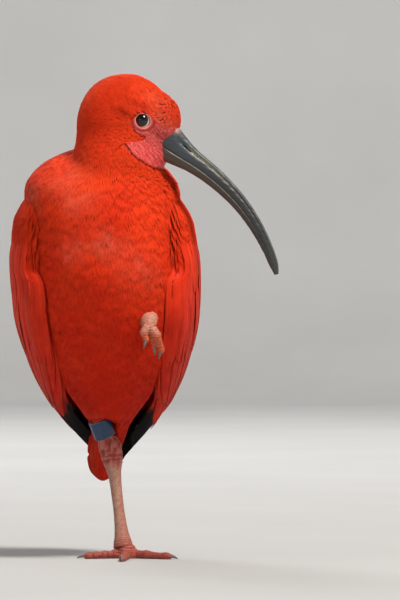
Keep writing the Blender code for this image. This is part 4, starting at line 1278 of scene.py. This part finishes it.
def make_tail(finish):
    length = np.linalg.norm(TAIL_TIP - TAIL_ROOT)
    down = (TAIL_TIP - TAIL_ROOT) / length
    back = -unit(np.cross([1, 0, 0], down))
    count = 10
    rings, roots = [], []
    for i in range(count):
        place = (i + 0.5) / count * 2 - 1
        swing = place * TAIL_HALF_SPREAD
        way = down * math.cos(swing) + np.array([1, 0, 0]) * math.sin(swing)
        reach = length * (1 - 0.05 * place * place) * np.linspace(0.3, 1.0, VANE_STATIONS)
        start = TAIL_ROOT + np.array([place * 3 * MM, 0, 0])
        centre = start + np.outer(reach, way) + back * (2.6 - 4.2 * abs(place)) * MM
        facing = np.tile(back, (len(centre), 1))
        rings.append(vane_rings(centre, facing, TAIL_HALF_WIDTH, 0.8 * MM, -place * math.radians(4), 0.07, 2))
        roots.append(from_body(centre[0]))
    rings = np.array(rings)
    colours = vane_colours("tail", rings, 1)
    tail = vanes_mesh("tail_feathers", rings, colours, np.array(roots), finish, 1)
    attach(tail, "root")
    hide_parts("tail")


# Eyes and bill


EYEBALL, EYE_SUNK = 7.4 * MM, 0.5 * MM  # its radius, and how far it lies back from its place


def make_eye(name, side, finish):
    """A glossy eye: black pupil, dark iris, and the cream edge that shows in its front corner."""
    centre, out = eye_spot(side)
    ahead = HEAD_AXES[0] - (HEAD_AXES[0] @ out) * out
    look = unit(out - 0.16 * unit(ahead))
    across = unit(np.cross(look, [0, 0, 1.0]))
    up = np.cross(across, look)
    rings, sides = 40, 48
    angle = np.linspace(0.02, math.pi - 0.02, rings)[:, None, None]
    turn = (2 * np.pi * np.arange(sides) / sides)[None, :, None]
    bulge = EYEBALL * (1 + 0.035 * bell(angle, 0, 0.55))
    way = np.cos(angle) * look + np.sin(angle) * (np.cos(turn) * across + np.sin(turn) * up)
    points = centre - out * EYE_SUNK + bulge * way
    grid = np.broadcast_arrays(turn[..., 0] / (2 * math.pi), angle[..., 0] / math.pi)
    eye = add_lofts(name, points, finish, maps={"Place": np.stack(grid, -1)[None]})
    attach(eye, "root")
    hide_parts(name.replace("ball", "eye"))


def eye_finish():
    f = Finish("eye_wet", 0.08, 0.35)
    f.set(f.shader, {"Coat Weight": 0.4, "Coat Roughness": 0.02})
    parts = f.split(f.map("Place"))
    fibres = f.noise(f.stretch(f.map("Place"), (40.0, 3.0, 1.0)), 1.0, 3.0, 0.6)
    iris = f.mix((0.008, 0.004, 0.003), (0.025, 0.01, 0.006), fibres)
    cream = f.mix((0.62, 0.5, 0.4), (0.8, 0.7, 0.6), fibres)
    pupil = f.ramp(parts[1], (0.148, (1.0, 1.0, 1.0)), (0.156, 0.0))
    edge = f.ramp(parts[1], (0.262, 0.0), (0.276, 1.0))
    colour = f.mix(f.mix(iris, (0.002, 0.002, 0.002), pupil), cream, edge)
    return f.wear(colour, f.bump(fibres, 0.03 * MM, 0.3))


def bill_line(count):
    """Middle points of the bill, the slope there and the share of its length, in the head's frame."""
    fine = 400
    share = np.linspace(0, 1, fine)
    slope = -np.radians(smooth_curve(share, BILL_SLOPES))
    step = BILL_LENGTH / (fine - 1)
    x = BILL_ROOT[0] + np.concatenate([[0], np.cumsum(np.cos(slope[:-1]) * step)])
    z = BILL_ROOT[2] + np.concatenate([[0], np.cumsum(np.sin(slope[:-1]) * step)])
    shares = np.linspace(0, 1, count)
    middle = np.stack([np.interp(shares, share, x), np.zeros(count), np.interp(shares, share, z)], 1)
    return middle, np.interp(shares, share, slope), shares


# Half of each mandible's cross-section: share of the half width, and height as a share of the depth. The
# plain one, without its side groove, is that of the upper mandible at its root and tip.
MOUTH = 0.5 - UPPER_SHARE
CUTTING_EDGE = ((0.99, MOUTH + 0.03), (0.95, MOUTH + 0.013), (0.6, MOUTH + 0.015), (0, MOUTH + 0.02))
UPPER_HALF = ((0, 0.5), (0.2, 0.492), (0.4, 0.462), (0.53, 0.405), (0.57, 0.345), (0.585, 0.3))
UPPER_HALF += ((0.66, 0.262), (0.8, 0.2), (0.93, 0.09), (1.0, -0.03)) + CUTTING_EDGE
PLAIN_HALF = ((0, 0.5), (0.2, 0.49), (0.42, 0.455), (0.6, 0.4), (0.7, 0.345), (0.76, 0.3), (0.81, 0.262))
PLAIN_HALF += ((0.88, 0.2), (0.96, 0.09), (1.0, -0.03)) + CUTTING_EDGE
LOWER_HALF = ((0, MOUTH - 0.02), (0.6, MOUTH - 0.015), (0.93, MOUTH - 0.012), (0.975, MOUTH - 0.03))
LOWER_HALF += ((0.97, -0.2), (0.9, -0.28), (0.86, -0.33), (0.84, -0.36), (0.66, -0.44), (0.42, -0.49))
LOWER_HALF += ((0.2, -0.5), (0.08, -0.485), (0, -0.47))
NOSTRIL = dict(share=0.118, reach=0.034, place=0.285, width=0.016, depth=1.7 * MM)
BILL_RINGS, BILL_SIDES = 320, 44


def bill_surface(half, plain=None):
    """Rings of a mandible in the head's frame, with each point's share along it and its height."""
    middle, slope, shares = bill_line(BILL_RINGS)
    depth = smooth_curve(shares, BILL_DEPTHS) * MM
    width = smooth_curve(shares, BILL_WIDTHS) * MM / 2
    walk = np.linspace(0, 1, BILL_SIDES)
    stations = np.linspace(0, 1, len(half))
    across = smooth_curve(walk, list(zip(stations, [h for h, _ in half])))
    height = smooth_curve(walk, list(zip(stations, [v for _, v in half])))
    across = np.repeat(across[None], BILL_RINGS, 0)
    height = np.repeat(height[None], BILL_RINGS, 0)
    if plain:
        groove = smooth_step(shares, 0.03, 0.1) * (1 - smooth_step(shares, 0.9, 0.99))
        flat = smooth_curve(walk, list(zip(stations, [h for h, _ in plain])))
        across = across * groove[:, None] + flat * (1 - groove[:, None])
        slit = np.exp(-(((shares[:, None] - NOSTRIL["share"]) / NOSTRIL["reach"] * 1.2) ** 4))
        slit = slit * bell(height, NOSTRIL["place"], NOSTRIL["width"])
        slit *= (walk < 0.6)[None]
        across = across - slit * NOSTRIL["depth"] / width[:, None]
    across = np.concatenate([across, -across[:, -2:0:-1]], 1)
    height = np.concatenate([height, height[:, -2:0:-1]], 1)
    up = np.stack([-np.sin(slope), 0 * slope, np.cos(slope)], 1)
    points = middle[:, None] + up[:, None] * (height * depth[:, None])[..., None]
    points[..., 1] += across * width[:, None]
    growth = 0.1 * MM * waves(points * (0.25, 1, 1), 3 * MM, 41) + 0.05 * MM * waves(points, 1.4 * MM, 42)
    out = unit(np.stack([0 * across, across * depth[:, None] / width[:, None] * 0.5, height], -1))
    out = out[..., 1:2] * np.array([0, 1, 0]) + out[..., 2:3] * up[:, None]
    points += out * (growth * smooth_step(1.03 - shares, 0, 0.1)[:, None])[..., None]
    sunk = points[:1] - np.array([9 * MM, 0, 0])
    points = np.concatenate([sunk, points])
    place = np.stack([np.repeat(shares[:, None], height.shape[1], 1), height + 0.5], -1)
    return from_head(points), np.concatenate([place[:1], place])


def make_bill():
    finish = bill_finish()
    for name, half, plain in (("bill_upper", UPPER_HALF, PLAIN_HALF), ("bill_lower", LOWER_HALF, None)):
        rings, place = bill_surface(half, plain)
        piece = add_lofts(name + "_horn", rings, finish, maps={"Place": place[None]})
        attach(piece, "root")
        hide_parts(name)


def bill_finish():
    """Horn: slate at the root and black beyond, with a painted highlight of grey along the top, a pale line
    along the mouth, and long fine grain.
    """
    f = Finish("bill_horn", 0.36, 0.3)
    place = f.map("Place")
    share, height = f.split(place)[0], f.split(place)[1]
    grain = f.noise(f.stretch(place, (14.0, 60.0, 1.0)), 1.0, 5.0, 0.65)
    flecks = f.noise(f.stretch(place, (60.0, 26.0, 1.0)), 1.0, 3.0, 0.6)
    cloud = f.noise(f.place(), 130.0, 4.0, 0.6)
    slate = f.mix((0.02, 0.026, 0.03), (0.075, 0.085, 0.095), grain)
    dark = f.mix((0.012, 0.013, 0.014), (0.06, 0.06, 0.058), grain)
    brown = f.mix((0.05, 0.04, 0.03), (0.15, 0.125, 0.095), grain)
    base = f.mix(slate, dark, f.ramp(share, (0.12, 0.0), (0.45, 1.0)))
    below = f.ramp(height, (0.3, 1.0), (0.37, 0.0))
    base = f.mix(base, brown, f.math("MULTIPLY", below, f.ramp(share, (0.0, 0.85), (0.6, 0.5), (0.95, 0.15))))
    # A grey painted highlight along the top of the bill, broken up by clouds.
    top = f.ramp(height, (0.86, 0.0), (0.97, 1.0))
    base = f.mix(base, (0.16, 0.165, 0.155), f.math("MULTIPLY", top, f.ramp(cloud, (0.35, 0.1), (0.7, 0.75))))
    ridge = f.ramp(height, (0.72, 0.0), (0.77, 1.0), (0.85, 1.0), (0.9, 0.0))
    near = f.ramp(share, (0.1, 0.0), (0.16, 1.0), (0.3, 0.7), (0.5, 0.0))
    yellow = f.math("MULTIPLY", ridge, f.math("MULTIPLY", near, f.ramp(flecks, (0.42, 0.0), (0.6, 0.8))))
    base = f.mix(base, (0.4, 0.36, 0.2), yellow)
    line = f.ramp(height, (0.335, 0.0), (0.352, 1.0), (0.372, 1.0), (0.382, 0.0))
    line = f.math("MULTIPLY", line, f.ramp(share, (0.02, 0.0), (0.06, 0.85), (0.5, 0.75), (0.75, 0.1)))
    base = f.mix(base, (0.52, 0.47, 0.36), f.math("MULTIPLY", line, f.ramp(flecks, (0.3, 0.5), (0.6, 1.0))))
    root = f.ramp(share, (0.0, 0.9), (0.035, 0.0))
    high = f.ramp(height, (0.78, 0.0), (0.95, 1.0))
    base = f.mix(base, (0.45, 0.24, 0.21), f.math("MULTIPLY", root, high))
    tip = f.ramp(share, (0.8, 0.0), (1.0, 0.5))
    base = f.mix(base, (0.13, 0.115, 0.105), f.math("MULTIPLY", tip, flecks))
    slit = f.ramp(share, (0.085, 0.0), (0.1, 1.0), (0.136, 1.0), (0.151, 0.0))
    slit = f.math("MULTIPLY", slit, f.ramp(height, (0.765, 0.0), (0.777, 1.0), (0.793, 1.0), (0.805, 0.0)))
    base = f.mix(base, (0.004, 0.004, 0.004), slit)
    rough = f.ramp(grain, (0.3, 0.28), (0.7, 0.5))
    return f.wear(base, f.bump(f.math("ADD", grain, flecks), 0.1 * MM, 0.5), rough)


# Leg, feet and band


# Along the leg, above the hock in mm and below it as a share of the shank, with the radius there in mm.
LEG_ABOVE = ((28, 6.2), (18, 6.6), (13.5, 7.6), (9, 9.0), (3, 9.6))
LEG_BELOW = ((0.06, 9.3), (0.14, 7.6), (0.25, 5.7), (0.4, 4.9), (0.62, 4.7), (0.82, 5.4), (0.93, 6.5))
LEG_BELOW += ((1.0, 7.8), (1.06, 8.6))
LEG_RINGS, LEG_SIDES = 260, 64


def leg_line(count):
    """Middle points and radii of the standing leg, from inside the thigh to the foot."""
    thigh = unit(HOCK - KNEE_END)
    drop = SHANK_END - HOCK
    path = [KNEE_END] + [HOCK - thigh * before * MM for before, _ in LEG_ABOVE]
    path += [HOCK + drop * share for share, _ in LEG_BELOW]
    radii = [6.2] + [radius for _, radius in LEG_ABOVE + LEG_BELOW]
    reach = np.concatenate([[0], np.cumsum(np.linalg.norm(np.diff(path, axis=0), axis=1))])
    places = np.linspace(0, reach[-1], count)
    smooth = [smooth_curve(places, np.stack([reach, column], 1)) for column in np.array(path).T]
    return np.stack(smooth, 1), smooth_curve(places, np.stack([reach, radii], 1)) * MM


def make_leg(finish):
    """The bare leg: loose folds round the hock, small plates down the shank and wrinkles above the foot."""
    path, radii = leg_line(LEG_RINGS)
    rings = tube_rings(path, radii, LEG_SIDES)
    turn = 2 * np.pi * (np.arange(LEG_SIDES) + 0.5) / LEG_SIDES
    height = np.repeat(path[:, 2:], LEG_SIDES, 1)
    hock = bell(height, 0.096, 0.017)
    lumps = waves(rings, 8 * MM, 51)
    folds = np.sin(5 * turn[None] + 1.6 * lumps + 60 * height) * 0.42 * hock
    creases = -0.75 * bell(height + 0.0016 * np.cos(turn) + 0.0012 * lumps, 0.0885, 0.0011)
    creases -= 0.5 * bell(height + 0.0012 * lumps, 0.0832, 0.0009)
    creases -= 0.4 * bell(height - 0.0016 * lumps, 0.0955, 0.0009)
    rows = np.sin(height / (1.9 * MM) * 2 * math.pi + 0.9 * waves(rings, 6 * MM, 52))
    columns = np.sin(9 * turn[None] + math.pi * np.floor(height / (1.9 * MM)) + 0.6 * lumps)
    plates = 0.09 * (rows + 0.7 * columns) * smooth_step(-height, -0.084, -0.07)
    ankle = smooth_step(-height, -0.024, -0.014)
    wrinkles = ankle * 0.22 * np.sin(height / (2.1 * MM) * 2 * math.pi + 1.2 * waves(rings, 9 * MM, 53))
    relief = folds + creases + plates * (1 - ankle) + wrinkles + 0.35 * lumps * hock
    relief += 0.12 * waves(rings, 1.7 * MM, 54) * (0.3 + hock)
    rings = tube_rings(path, radii[:, None] + relief * MM, LEG_SIDES)
    leg = add_lofts("leg_skin", rings, finish, skin_marks(rings, relief))
    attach(leg, "root")
    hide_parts("leg_right")


HOCK_SKIN, SHANK_SKIN = np.array([0.5, 0.11, 0.09]), np.array([0.45, 0.28, 0.2])
FOOT_SKIN, CREASE_SHADE_SKIN = np.array([0.36, 0.075, 0.052]), np.array([0.24, 0.025, 0.016])


def skin_marks(points, relief):
    """Colours of the bare leg and feet: pink at the hock, pale down the shank, redder at the foot, and
    painted shade in the creases.
    """
    height = points[..., 2]
    shank = smooth_step(-height, -0.088, -0.072) * smooth_step(height, 0.006, 0.024)
    hock = smooth_step(height, 0.05, 0.085)[..., None]
    colour = FOOT_SKIN * (1 - hock) + HOCK_SKIN * hock
    blotch = 0.5 + 0.5 * waves(points, 5 * MM, 61)
    edge = np.clip((points[..., 0] + 0.0085) / 0.005, 0, 1) * 0.5
    pale = np.clip(shank * (1 - edge) * (0.75 + 0.3 * blotch), 0, 1)[..., None]
    colour = colour * (1 - pale) + SHANK_SKIN * pale
    # Darker where the relief dips: painted shade in the creases and folds, with random blotches.
    low = np.clip(-relief * 2.2 + 0.15 * (1 - blotch), 0, 0.85)[..., None]
    colour = colour * (1 - low) + CREASE_SHADE_SKIN * low
    worn = np.clip(relief * 0.8 - 0.1, 0, 0.25)[..., None]
    return {"Skin": colour * (1 - worn) + np.array([0.55, 0.3, 0.22]) * worn}


def bare_finish():
    """Scaly bare skin: small cells with darker lines between them."""
    f = Finish("scaly_skin", 0.5, 0.35)
    warped = f.mix(f.place(), f.node("TexNoise", "Color", {"Vector": f.place(), "Scale": 300.0}), 0.0015)
    edges = f.cells(warped, 620.0, "DISTANCE_TO_EDGE")
    lines = f.ramp(edges, (0.0, 1.0), (0.09, 0.0))
    fine = f.noise(f.place(), 1400.0, 3.0, 0.6)
    blotch = f.noise(f.place(), 190.0, 4.0, 0.6)
    base = f.times(f.colour("Skin"), f.ramp(blotch, (0.3, (0.9, 0.78, 0.76)), (0.7, (1.08, 1.12, 1.1))))
    base = f.mix(base, (0.4, 0.09, 0.06), f.math("MULTIPLY", lines, 0.42))
    height = f.math("SUBTRACT", f.math("MULTIPLY", fine, 0.3), lines)
    return f.wear(base, f.bump(height, 0.14 * MM, 0.6))


def toe_way(degrees_left):
    angle = math.radians(degrees_left)
    return np.array([math.sin(angle), -math.cos(angle), 0])


def toe_profile(toe, stations):
    """Radius and height of the middle of a toe along its length. Its pads touch the ground at the joints."""
    swell = np.zeros(stations.shape)
    for joint in toe["joints"]:
        swell = np.maximum(swell, bell(stations, joint * 0.94, 0.085))
    radius = (3.9 - 1.5 * stations + 0.75 * swell) * MM
    return radius, radius - 0.45 * MM + 0.6 * MM * (1 - swell)


HUB = (((-1, 0, -1.5), (-1.2, 0.1, 2.2), 9.3, 9.9), ((-1.2, 0.1, 2.2), (-1.8, 0.5, 4.6), 9.9, 9.5))


def foot_field(points):
    value = np.full(len(points), np.inf)
    for start, end, first, last in HUB:
        value = np.minimum(value, taper(points, start, end, first, last))
    for toe in TOES.values():
        way = toe_way(toe["way"])
        station = np.clip(points @ way / (toe["length"] * MM), 0.05, 1.0)
        radius, height = toe_profile(toe, station)
        middle = np.outer(station * toe["length"] * MM, way)
        middle[:, 2] = height
        value = blend(value, np.linalg.norm(points - middle, axis=1) - radius, 2.5)
    return np.maximum(value, 0.02 * MM - points[:, 2])


def foot_relief(points):
    """Height of the cross plates on top of the toes and of the creases at their joints, in mm."""
    relief = 0.16 * waves(points, 2.4 * MM, 55)
    for toe in TOES.values():
        way = toe_way(toe["way"])
        along = points @ way / MM
        off = np.linalg.norm(points[:, :2] - np.outer(along * MM, way[:2]), axis=1)
        on_toe = smooth_step(along, 7, 11) * smooth_step(-off, -5 * MM, -4 * MM)
        top = smooth_step(points[:, 2], 3.4 * MM, 5.2 * MM)
        plate = (along / 2.2) % 1
        relief = relief - on_toe * top * 0.34 * bell(plate, 0.5, 0.13)
        for joint in toe["joints"][:-1]:
            crease = np.abs(along - joint * 0.94 * toe["length"])
            relief -= on_toe * 0.3 * bell(crease, 2.6, 0.5)
    hub = np.linalg.norm(points[:, :2] + (1.5 * MM, 0), axis=1)
    rings = 0.3 * np.sin(points[:, 2] / (2.4 * MM) * 2 * math.pi + 1.5 * waves(points, 9 * MM, 56))
    above = smooth_step(points[:, 2], 2 * MM, 4 * MM)
    return relief + rings * smooth_step(-hub, -12.5 * MM, -10.5 * MM) * above


def relief_net(name, field, relief, low, high, cell, finish, marks):
    """A mesh on a field, raised by the relief, with the colours that marks gives it."""
    axes = [np.arange(a, b, cell) for a, b in zip(low, high)]
    points, quads = surface_net(field, axes)
    out = settle(field, points)[1]
    height = relief(points)
    points = points + out * (height * MM)[:, None]
    points[:, 2] = np.maximum(points[:, 2], 0.02 * MM) if low[2] < 0 else points[:, 2]
    sizes = np.full(len(quads), 4)
    piece = add_mesh(name, points, quads.ravel(), sizes, finish, marks(points, height))
    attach(piece, "root")
    return piece


def tucked_field(points):
    value = taper(points, TUCKED_ROOT + (0, 16, 8), TUCKED_ROOT + (0, 6, 4), 8, 7)
    value = blend(value, taper(points, TUCKED_ROOT + (0, 6, 4), TUCKED_ROOT, 7, 4.8), 1.5)
    for toe in TUCKED_TOES.values():
        bend, end = np.array(toe["bend"]), np.array(toe["end"])
        start = TUCKED_ROOT * 0.4 + bend * 0.6 + (0, -0.8, 0.8)
        radius = toe["radius"]
        part = taper(points, start, bend, radius * 1.1, radius)
        part = blend(part, taper(points, bend, end, radius * 0.94, radius * 0.8), 1.0)
        part = blend(part, ball(points, bend, (radius * 1.04,) * 3), 1.0)
        value = blend(value, part, 1.2)
    return value


def tucked_relief(points):
    along = points[:, 2] / MM
    plates = bell((along / 2.1 + 0.25 * waves(points, 6 * MM, 57)) % 1, 0.5, 0.14)
    front = smooth_step(-points[:, 1], 74 * MM, 78 * MM)
    return 0.14 * waves(points, 1.9 * MM, 58) - 0.26 * plates * front


def tucked_marks(points, relief):
    blotch = 0.5 + 0.5 * waves(points, 5 * MM, 62)
    top = smooth_step(points[:, 2], 0.188, 0.199)[:, None]
    colour = np.array([0.6, 0.1, 0.025]) * (1 - top) + np.array([0.55, 0.25, 0.17]) * top
    # Darker where the relief dips: painted shade in the creases between the plates, with random blotches.
    low = np.clip(-relief * 1.8 + 0.15 * (1 - blotch), 0, 0.8)[:, None]
    return {"Skin": colour * (1 - low) + CREASE_SHADE_SKIN * low}


FOOT_LOW, FOOT_HIGH = np.array([-46, -58, -1.8]) * MM, np.array([44, 28, 15]) * MM
TUCKED_LOW, TUCKED_HIGH = np.array([8, -86, 172]) * MM, np.array([36, -48, 218]) * MM
FOOT_CELL, TUCKED_CELL = 0.62 * MM, 0.55 * MM


def make_feet(finish):
    foot = relief_net(
        "foot_skin", foot_field, foot_relief, FOOT_LOW, FOOT_HIGH, FOOT_CELL, finish, skin_marks
    )
    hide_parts("foot_right")
    tucked = relief_net(
        "tucked_skin", tucked_field, tucked_relief, TUCKED_LOW, TUCKED_HIGH, TUCKED_CELL, finish, tucked_marks
    )
    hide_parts("foot_left")


CLAW_TAPER = ((-0.12, 1.0), (0.15, 0.97), (0.45, 0.74), (0.75, 0.44), (1, 0.1))


def make_claw(name, root, way, down, length, radius, finish):
    """A curved claw, ridged on top and hollowed below, with fine growth rings at its root."""
    share = np.linspace(-0.12, 1.0, 48)
    path = root + np.outer(share * length, way) + np.outer(share * np.abs(share) * length * 0.24, down)
    taper_off = radius * smooth_curve(share, CLAW_TAPER)
    growth = 0.05 * MM * np.sin(share * 60) * smooth_step(-share, -0.6, -0.1)
    sides = 28
    _, side, up = path_frames(path, np.cross(way, down))
    turn = 2 * np.pi * np.arange(sides) / sides
    top = (up @ down < 0).mean() > 0.5
    high = np.sin(turn) if top else -np.sin(turn)
    shape = 1 + 0.12 * np.clip(high, 0, 1) ** 6 - 0.16 * np.clip(-high, 0, 1) ** 8
    across = np.cos(turn)[None, :, None] * side[:, None] * 0.86 + np.sin(turn)[None, :, None] * up[:, None]
    rings = path[:, None] + (taper_off + growth)[:, None, None] * shape[None, :, None] * across
    rings[..., 2] = np.maximum(rings[..., 2], 0.05 * MM)
    place = np.stack(np.broadcast_arrays(share[:, None], turn[None] / (2 * math.pi)), -1)
    claw = add_lofts(name.replace("claw", "claw_horn"), rings, finish, maps={"Place": place[None]})
    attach(claw, "root")
    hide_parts(name)


def make_claws():
    finish = claw_finish()
    for name, toe in TOES.items():
        way = toe_way(toe["way"])
        root = way * toe["length"] * MM + np.array([0, 0, 2.75 * MM])
        make_claw("claw_right_" + name, root, way, np.array([0, 0, -1.0]), CLAW_LENGTH, 1.85 * MM, finish)
    for name, toe in TUCKED_TOES.items():
        end, tip = np.array(toe["end"]) * MM, np.array(toe["tip"]) * MM
        length = np.linalg.norm(tip - end)
        bend = np.array([0.0, 0.35, 0.0])
        way = unit(unit(tip - end) - bend)
        make_claw("claw_left_" + name, end, way, bend * 2, length, 1.9 * MM, finish)


def claw_finish():
    f = Finish("claw_horn", 0.38, 0.5)
    place = f.map("Place")
    grain = f.noise(f.stretch(place, (5.0, 26.0, 1.0)), 1.0, 4.0, 0.6)
    share = f.split(place)[0]
    root = f.mix((0.11, 0.09, 0.08), (0.26, 0.22, 0.19), grain)
    tip = f.mix((0.05, 0.045, 0.04), (0.14, 0.12, 0.1), grain)
    base = f.mix(root, tip, f.ramp(share, (0.2, 0.0), (0.9, 1.0)))
    return f.wear(base, f.bump(grain, 0.06 * MM, 0.5))


# The ring's cross-section, in mm: place along its axis, and radius.
BAND_SECTION = ((0, 7.9), (0, 8.2), (0, 8.75), (0.12, 9.0), (0.4, 9.1), (1.2, 9.1), (4, 9.1), (8, 9.1))
BAND_SECTION += ((12, 9.1), (14.8, 9.1), (15.6, 9.1), (15.88, 9.0), (16, 8.75), (16, 8.2), (16, 7.9))
BAND_SECTION += ((12, 7.9), (8, 7.9), (4, 7.9))


def make_band():
    """The plastic ring: a strip lapped over itself, with rounded edges that show its pale core."""
    axis = unit(HOCK - KNEE_END)
    low = KNEE_END + axis * 35.0 * MM
    high = low - axis * 16.0 * MM
    _, side, up = path_frames(np.array([high, low]), np.array([1.0, 0, 0]))
    sides = 128
    turn = 2 * np.pi * np.arange(sides) / sides
    lap = smooth_step(turn, 2.2, 2.26) * (1 - smooth_step(turn, 3.3, 3.36))
    reach, radius = np.array(BAND_SECTION).T
    step = np.where(radius > 8.5, 0.22, 0.0)[:, None] * lap[None]
    circle = np.cos(turn)[:, None] * side[0] + np.sin(turn)[:, None] * up[0]
    out = ((radius[:, None] + step) * MM)[..., None] * circle[None]
    points = high + (reach * MM)[:, None, None] * axis + out
    points = np.concatenate([points, points[:1]]).swapaxes(0, 1)
    rings = np.concatenate([points, points[:1]])
    count = len(BAND_SECTION)
    loops, sizes = [], []
    for i in range(sides):
        for j in range(count):
            k, n = (i + 1) % sides, (j + 1) % count
            loops += [i * count + j, k * count + j, k * count + n, i * count + n]
            sizes.append(4)
    flat = rings[:-1, :-1].reshape(-1, 3)
    across = np.repeat(reach[None], sides, 0).ravel() / 16
    core = (np.repeat(radius[None], sides, 0).ravel() < 8.9) * 1.0
    place = np.stack([np.repeat(turn / (2 * math.pi), count), across], -1)
    marks = {"Core": np.stack([core, core, core], -1)}
    loops, sizes = np.array(loops), np.array(sizes)
    band = add_mesh("band_ring", flat, loops, sizes, band_finish(), marks, {"Place": place})
    work = bmesh.new()
    work.from_mesh(band.data)
    bmesh.ops.recalc_face_normals(work, faces=work.faces)
    work.to_mesh(band.data)
    work.free()
    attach(band, "root")
    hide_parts("leg_band")


def band_finish():
    f = Finish("band_plastic", 0.34, 0.5)
    place = f.map("Place")
    scratches = f.noise(f.stretch(place, (6.0, 90.0, 1.0)), 1.0, 4.0, 0.7)
    specks = f.noise(f.place(), 900.0, 3.0, 0.6)
    dirt = f.noise(f.place(), 140.0, 4.0, 0.65)
    blue = f.mix((0.006, 0.03, 0.085), (0.012, 0.05, 0.13), dirt)
    blue = f.mix(blue, (0.2, 0.27, 0.36), f.ramp(scratches, (0.58, 0.0), (0.74, 0.6)))
    pale = f.mix((0.5, 0.5, 0.46), (0.72, 0.72, 0.68), dirt)
    base = f.mix(blue, pale, f.split(f.colour("Core"))[0])
    base = f.mix(base, (0.1, 0.07, 0.05), f.ramp(dirt, (0.55, 0.0), (0.85, 0.4)))
    rough = f.ramp(dirt, (0.3, 0.28), (0.7, 0.5))
    return f.wear(base, f.bump(f.math("ADD", scratches, specks), 0.05 * MM, 0.4), rough)


# Camera, light and floor


def make_camera():
    camera = bpy.data.objects.new("camera", bpy.data.cameras.new("camera"))
    bpy.context.scene.collection.objects.link(camera)
    camera.location = CAMERA_PLACE
    camera.rotation_euler = (math.pi / 2, 0, 0)
    camera.data.sensor_fit = "VERTICAL"
    camera.data.sensor_height = FILM_HEIGHT
    camera.data.lens = FILM_HEIGHT * -CAMERA_PLACE[1] / VIEW_HEIGHT
    camera.data.clip_start, camera.data.clip_end = 0.1, 40
    bpy.context.scene.camera = camera


def make_light(name, place, target, size, watts, colour=(1, 1, 1)):
    light = bpy.data.objects.new(name, bpy.data.lights.new(name, "AREA"))
    bpy.context.scene.collection.objects.link(light)
    light.data.shape = "DISK"
    light.data.size = size
    light.data.energy = watts
    light.data.color = colour
    light.location = place
    light.rotation_euler = (Vector(target) - Vector(place)).to_track_quat("-Z", "Y").to_euler()


def make_stage():
    """A plain pale floor that turns up into a low wall, far off on every side."""
    flat, bend, wall, sides = 6.0, 1.4, 3.4, 96
    profile = [(0.001, 0.0), (1.0, 0.0), (3.0, 0.0), (flat, 0.0)]
    for angle in np.linspace(0.1, math.pi / 2, 12):
        profile.append((flat + bend * math.sin(angle), bend * (1 - math.cos(angle))))
    profile.append((flat + bend, wall))
    circle = [(math.cos(a), math.sin(a)) for a in 2 * np.pi * np.arange(sides) / sides]
    points = np.array([(r * x, r * y, z) for r, z in profile for x, y in circle])
    faces = []
    for i in range(len(profile) - 1):
        for j in range(sides):
            k = (j + 1) % sides
            faces.append((i * sides + j, i * sides + k, (i + 1) * sides + k, (i + 1) * sides + j))
    f = Finish("floor", 0.9, 0.1)
    grain = f.noise(f.place(), 3.0, 4.0, 0.5)
    # The floor's colour is darker near the middle and paler far off. This is painted light that evens out the
    # brighter pool of the key light near the bird.
    away = f.node("VectorMath", 1, {0: f.stretch(f.place(), (1.0, 1.0, 0.0))}, operation="LENGTH")
    spread = f.math("DIVIDE", away, 8.0)
    near, middle, far = (0.48, 0.475, 0.465), (0.52, 0.515, 0.505), (0.66, 0.655, 0.645)
    shade = f.ramp(spread, (0.0, near), (0.12, middle), (0.5, far))
    f.wear(f.times(shade, f.ramp(grain, (0.3, 0.97), (0.7, 1.03))))
    floor = add_mesh("floor", points, np.array(faces).ravel(), np.full(len(faces), 4), f.material)


def make_world():
    world = bpy.data.worlds.new("studio")
    world.use_nodes = True
    world.node_tree.nodes["Background"].inputs[0].default_value = (0.93, 0.95, 1.0, 1)
    world.node_tree.nodes["Background"].inputs[1].default_value = 0.17
    bpy.context.scene.world = world


def build():
    bpy.context.scene.view_settings.view_transform = "Standard"
    make_camera()
    make_stage()
    make_world()
    make_light("key", (2.3, -2.3, 5.2), (-0.01, -0.02, 0.26), 1.5, 430, (1.0, 0.97, 0.92))
    make_light("fill", (-3.2, -3.2, 1.6), (-0.01, 0, 0.22), 2.2, 12, (0.95, 0.97, 1.0))
    make_light("back", (-1.6, 3.2, 3.0), (0, 0, 0.25), 1.6, 60)
    make_light("backdrop", (0, 2.2, 4.5), (0, 7.0, 1.2), 3.0, 75)
    skin = make_skin()
    plumage = plumage_finish()
    vanes = vane_finish()
    wet = eye_finish()
    bare = bare_finish()
    make_coat(skin, plumage)
    for name, side in (("left", 1), ("right", -1)):
        core = make_wing_core(side, name, plumage)
        make_coverts(side, name, core, plumage)
        make_flight_feathers(side, name, vanes)
        make_eye("ball_" + name, side, wet)
    make_tail(vanes)
    make_bill()
    make_leg(bare)
    make_feet(bare)
    make_claws()
    make_band()


build()
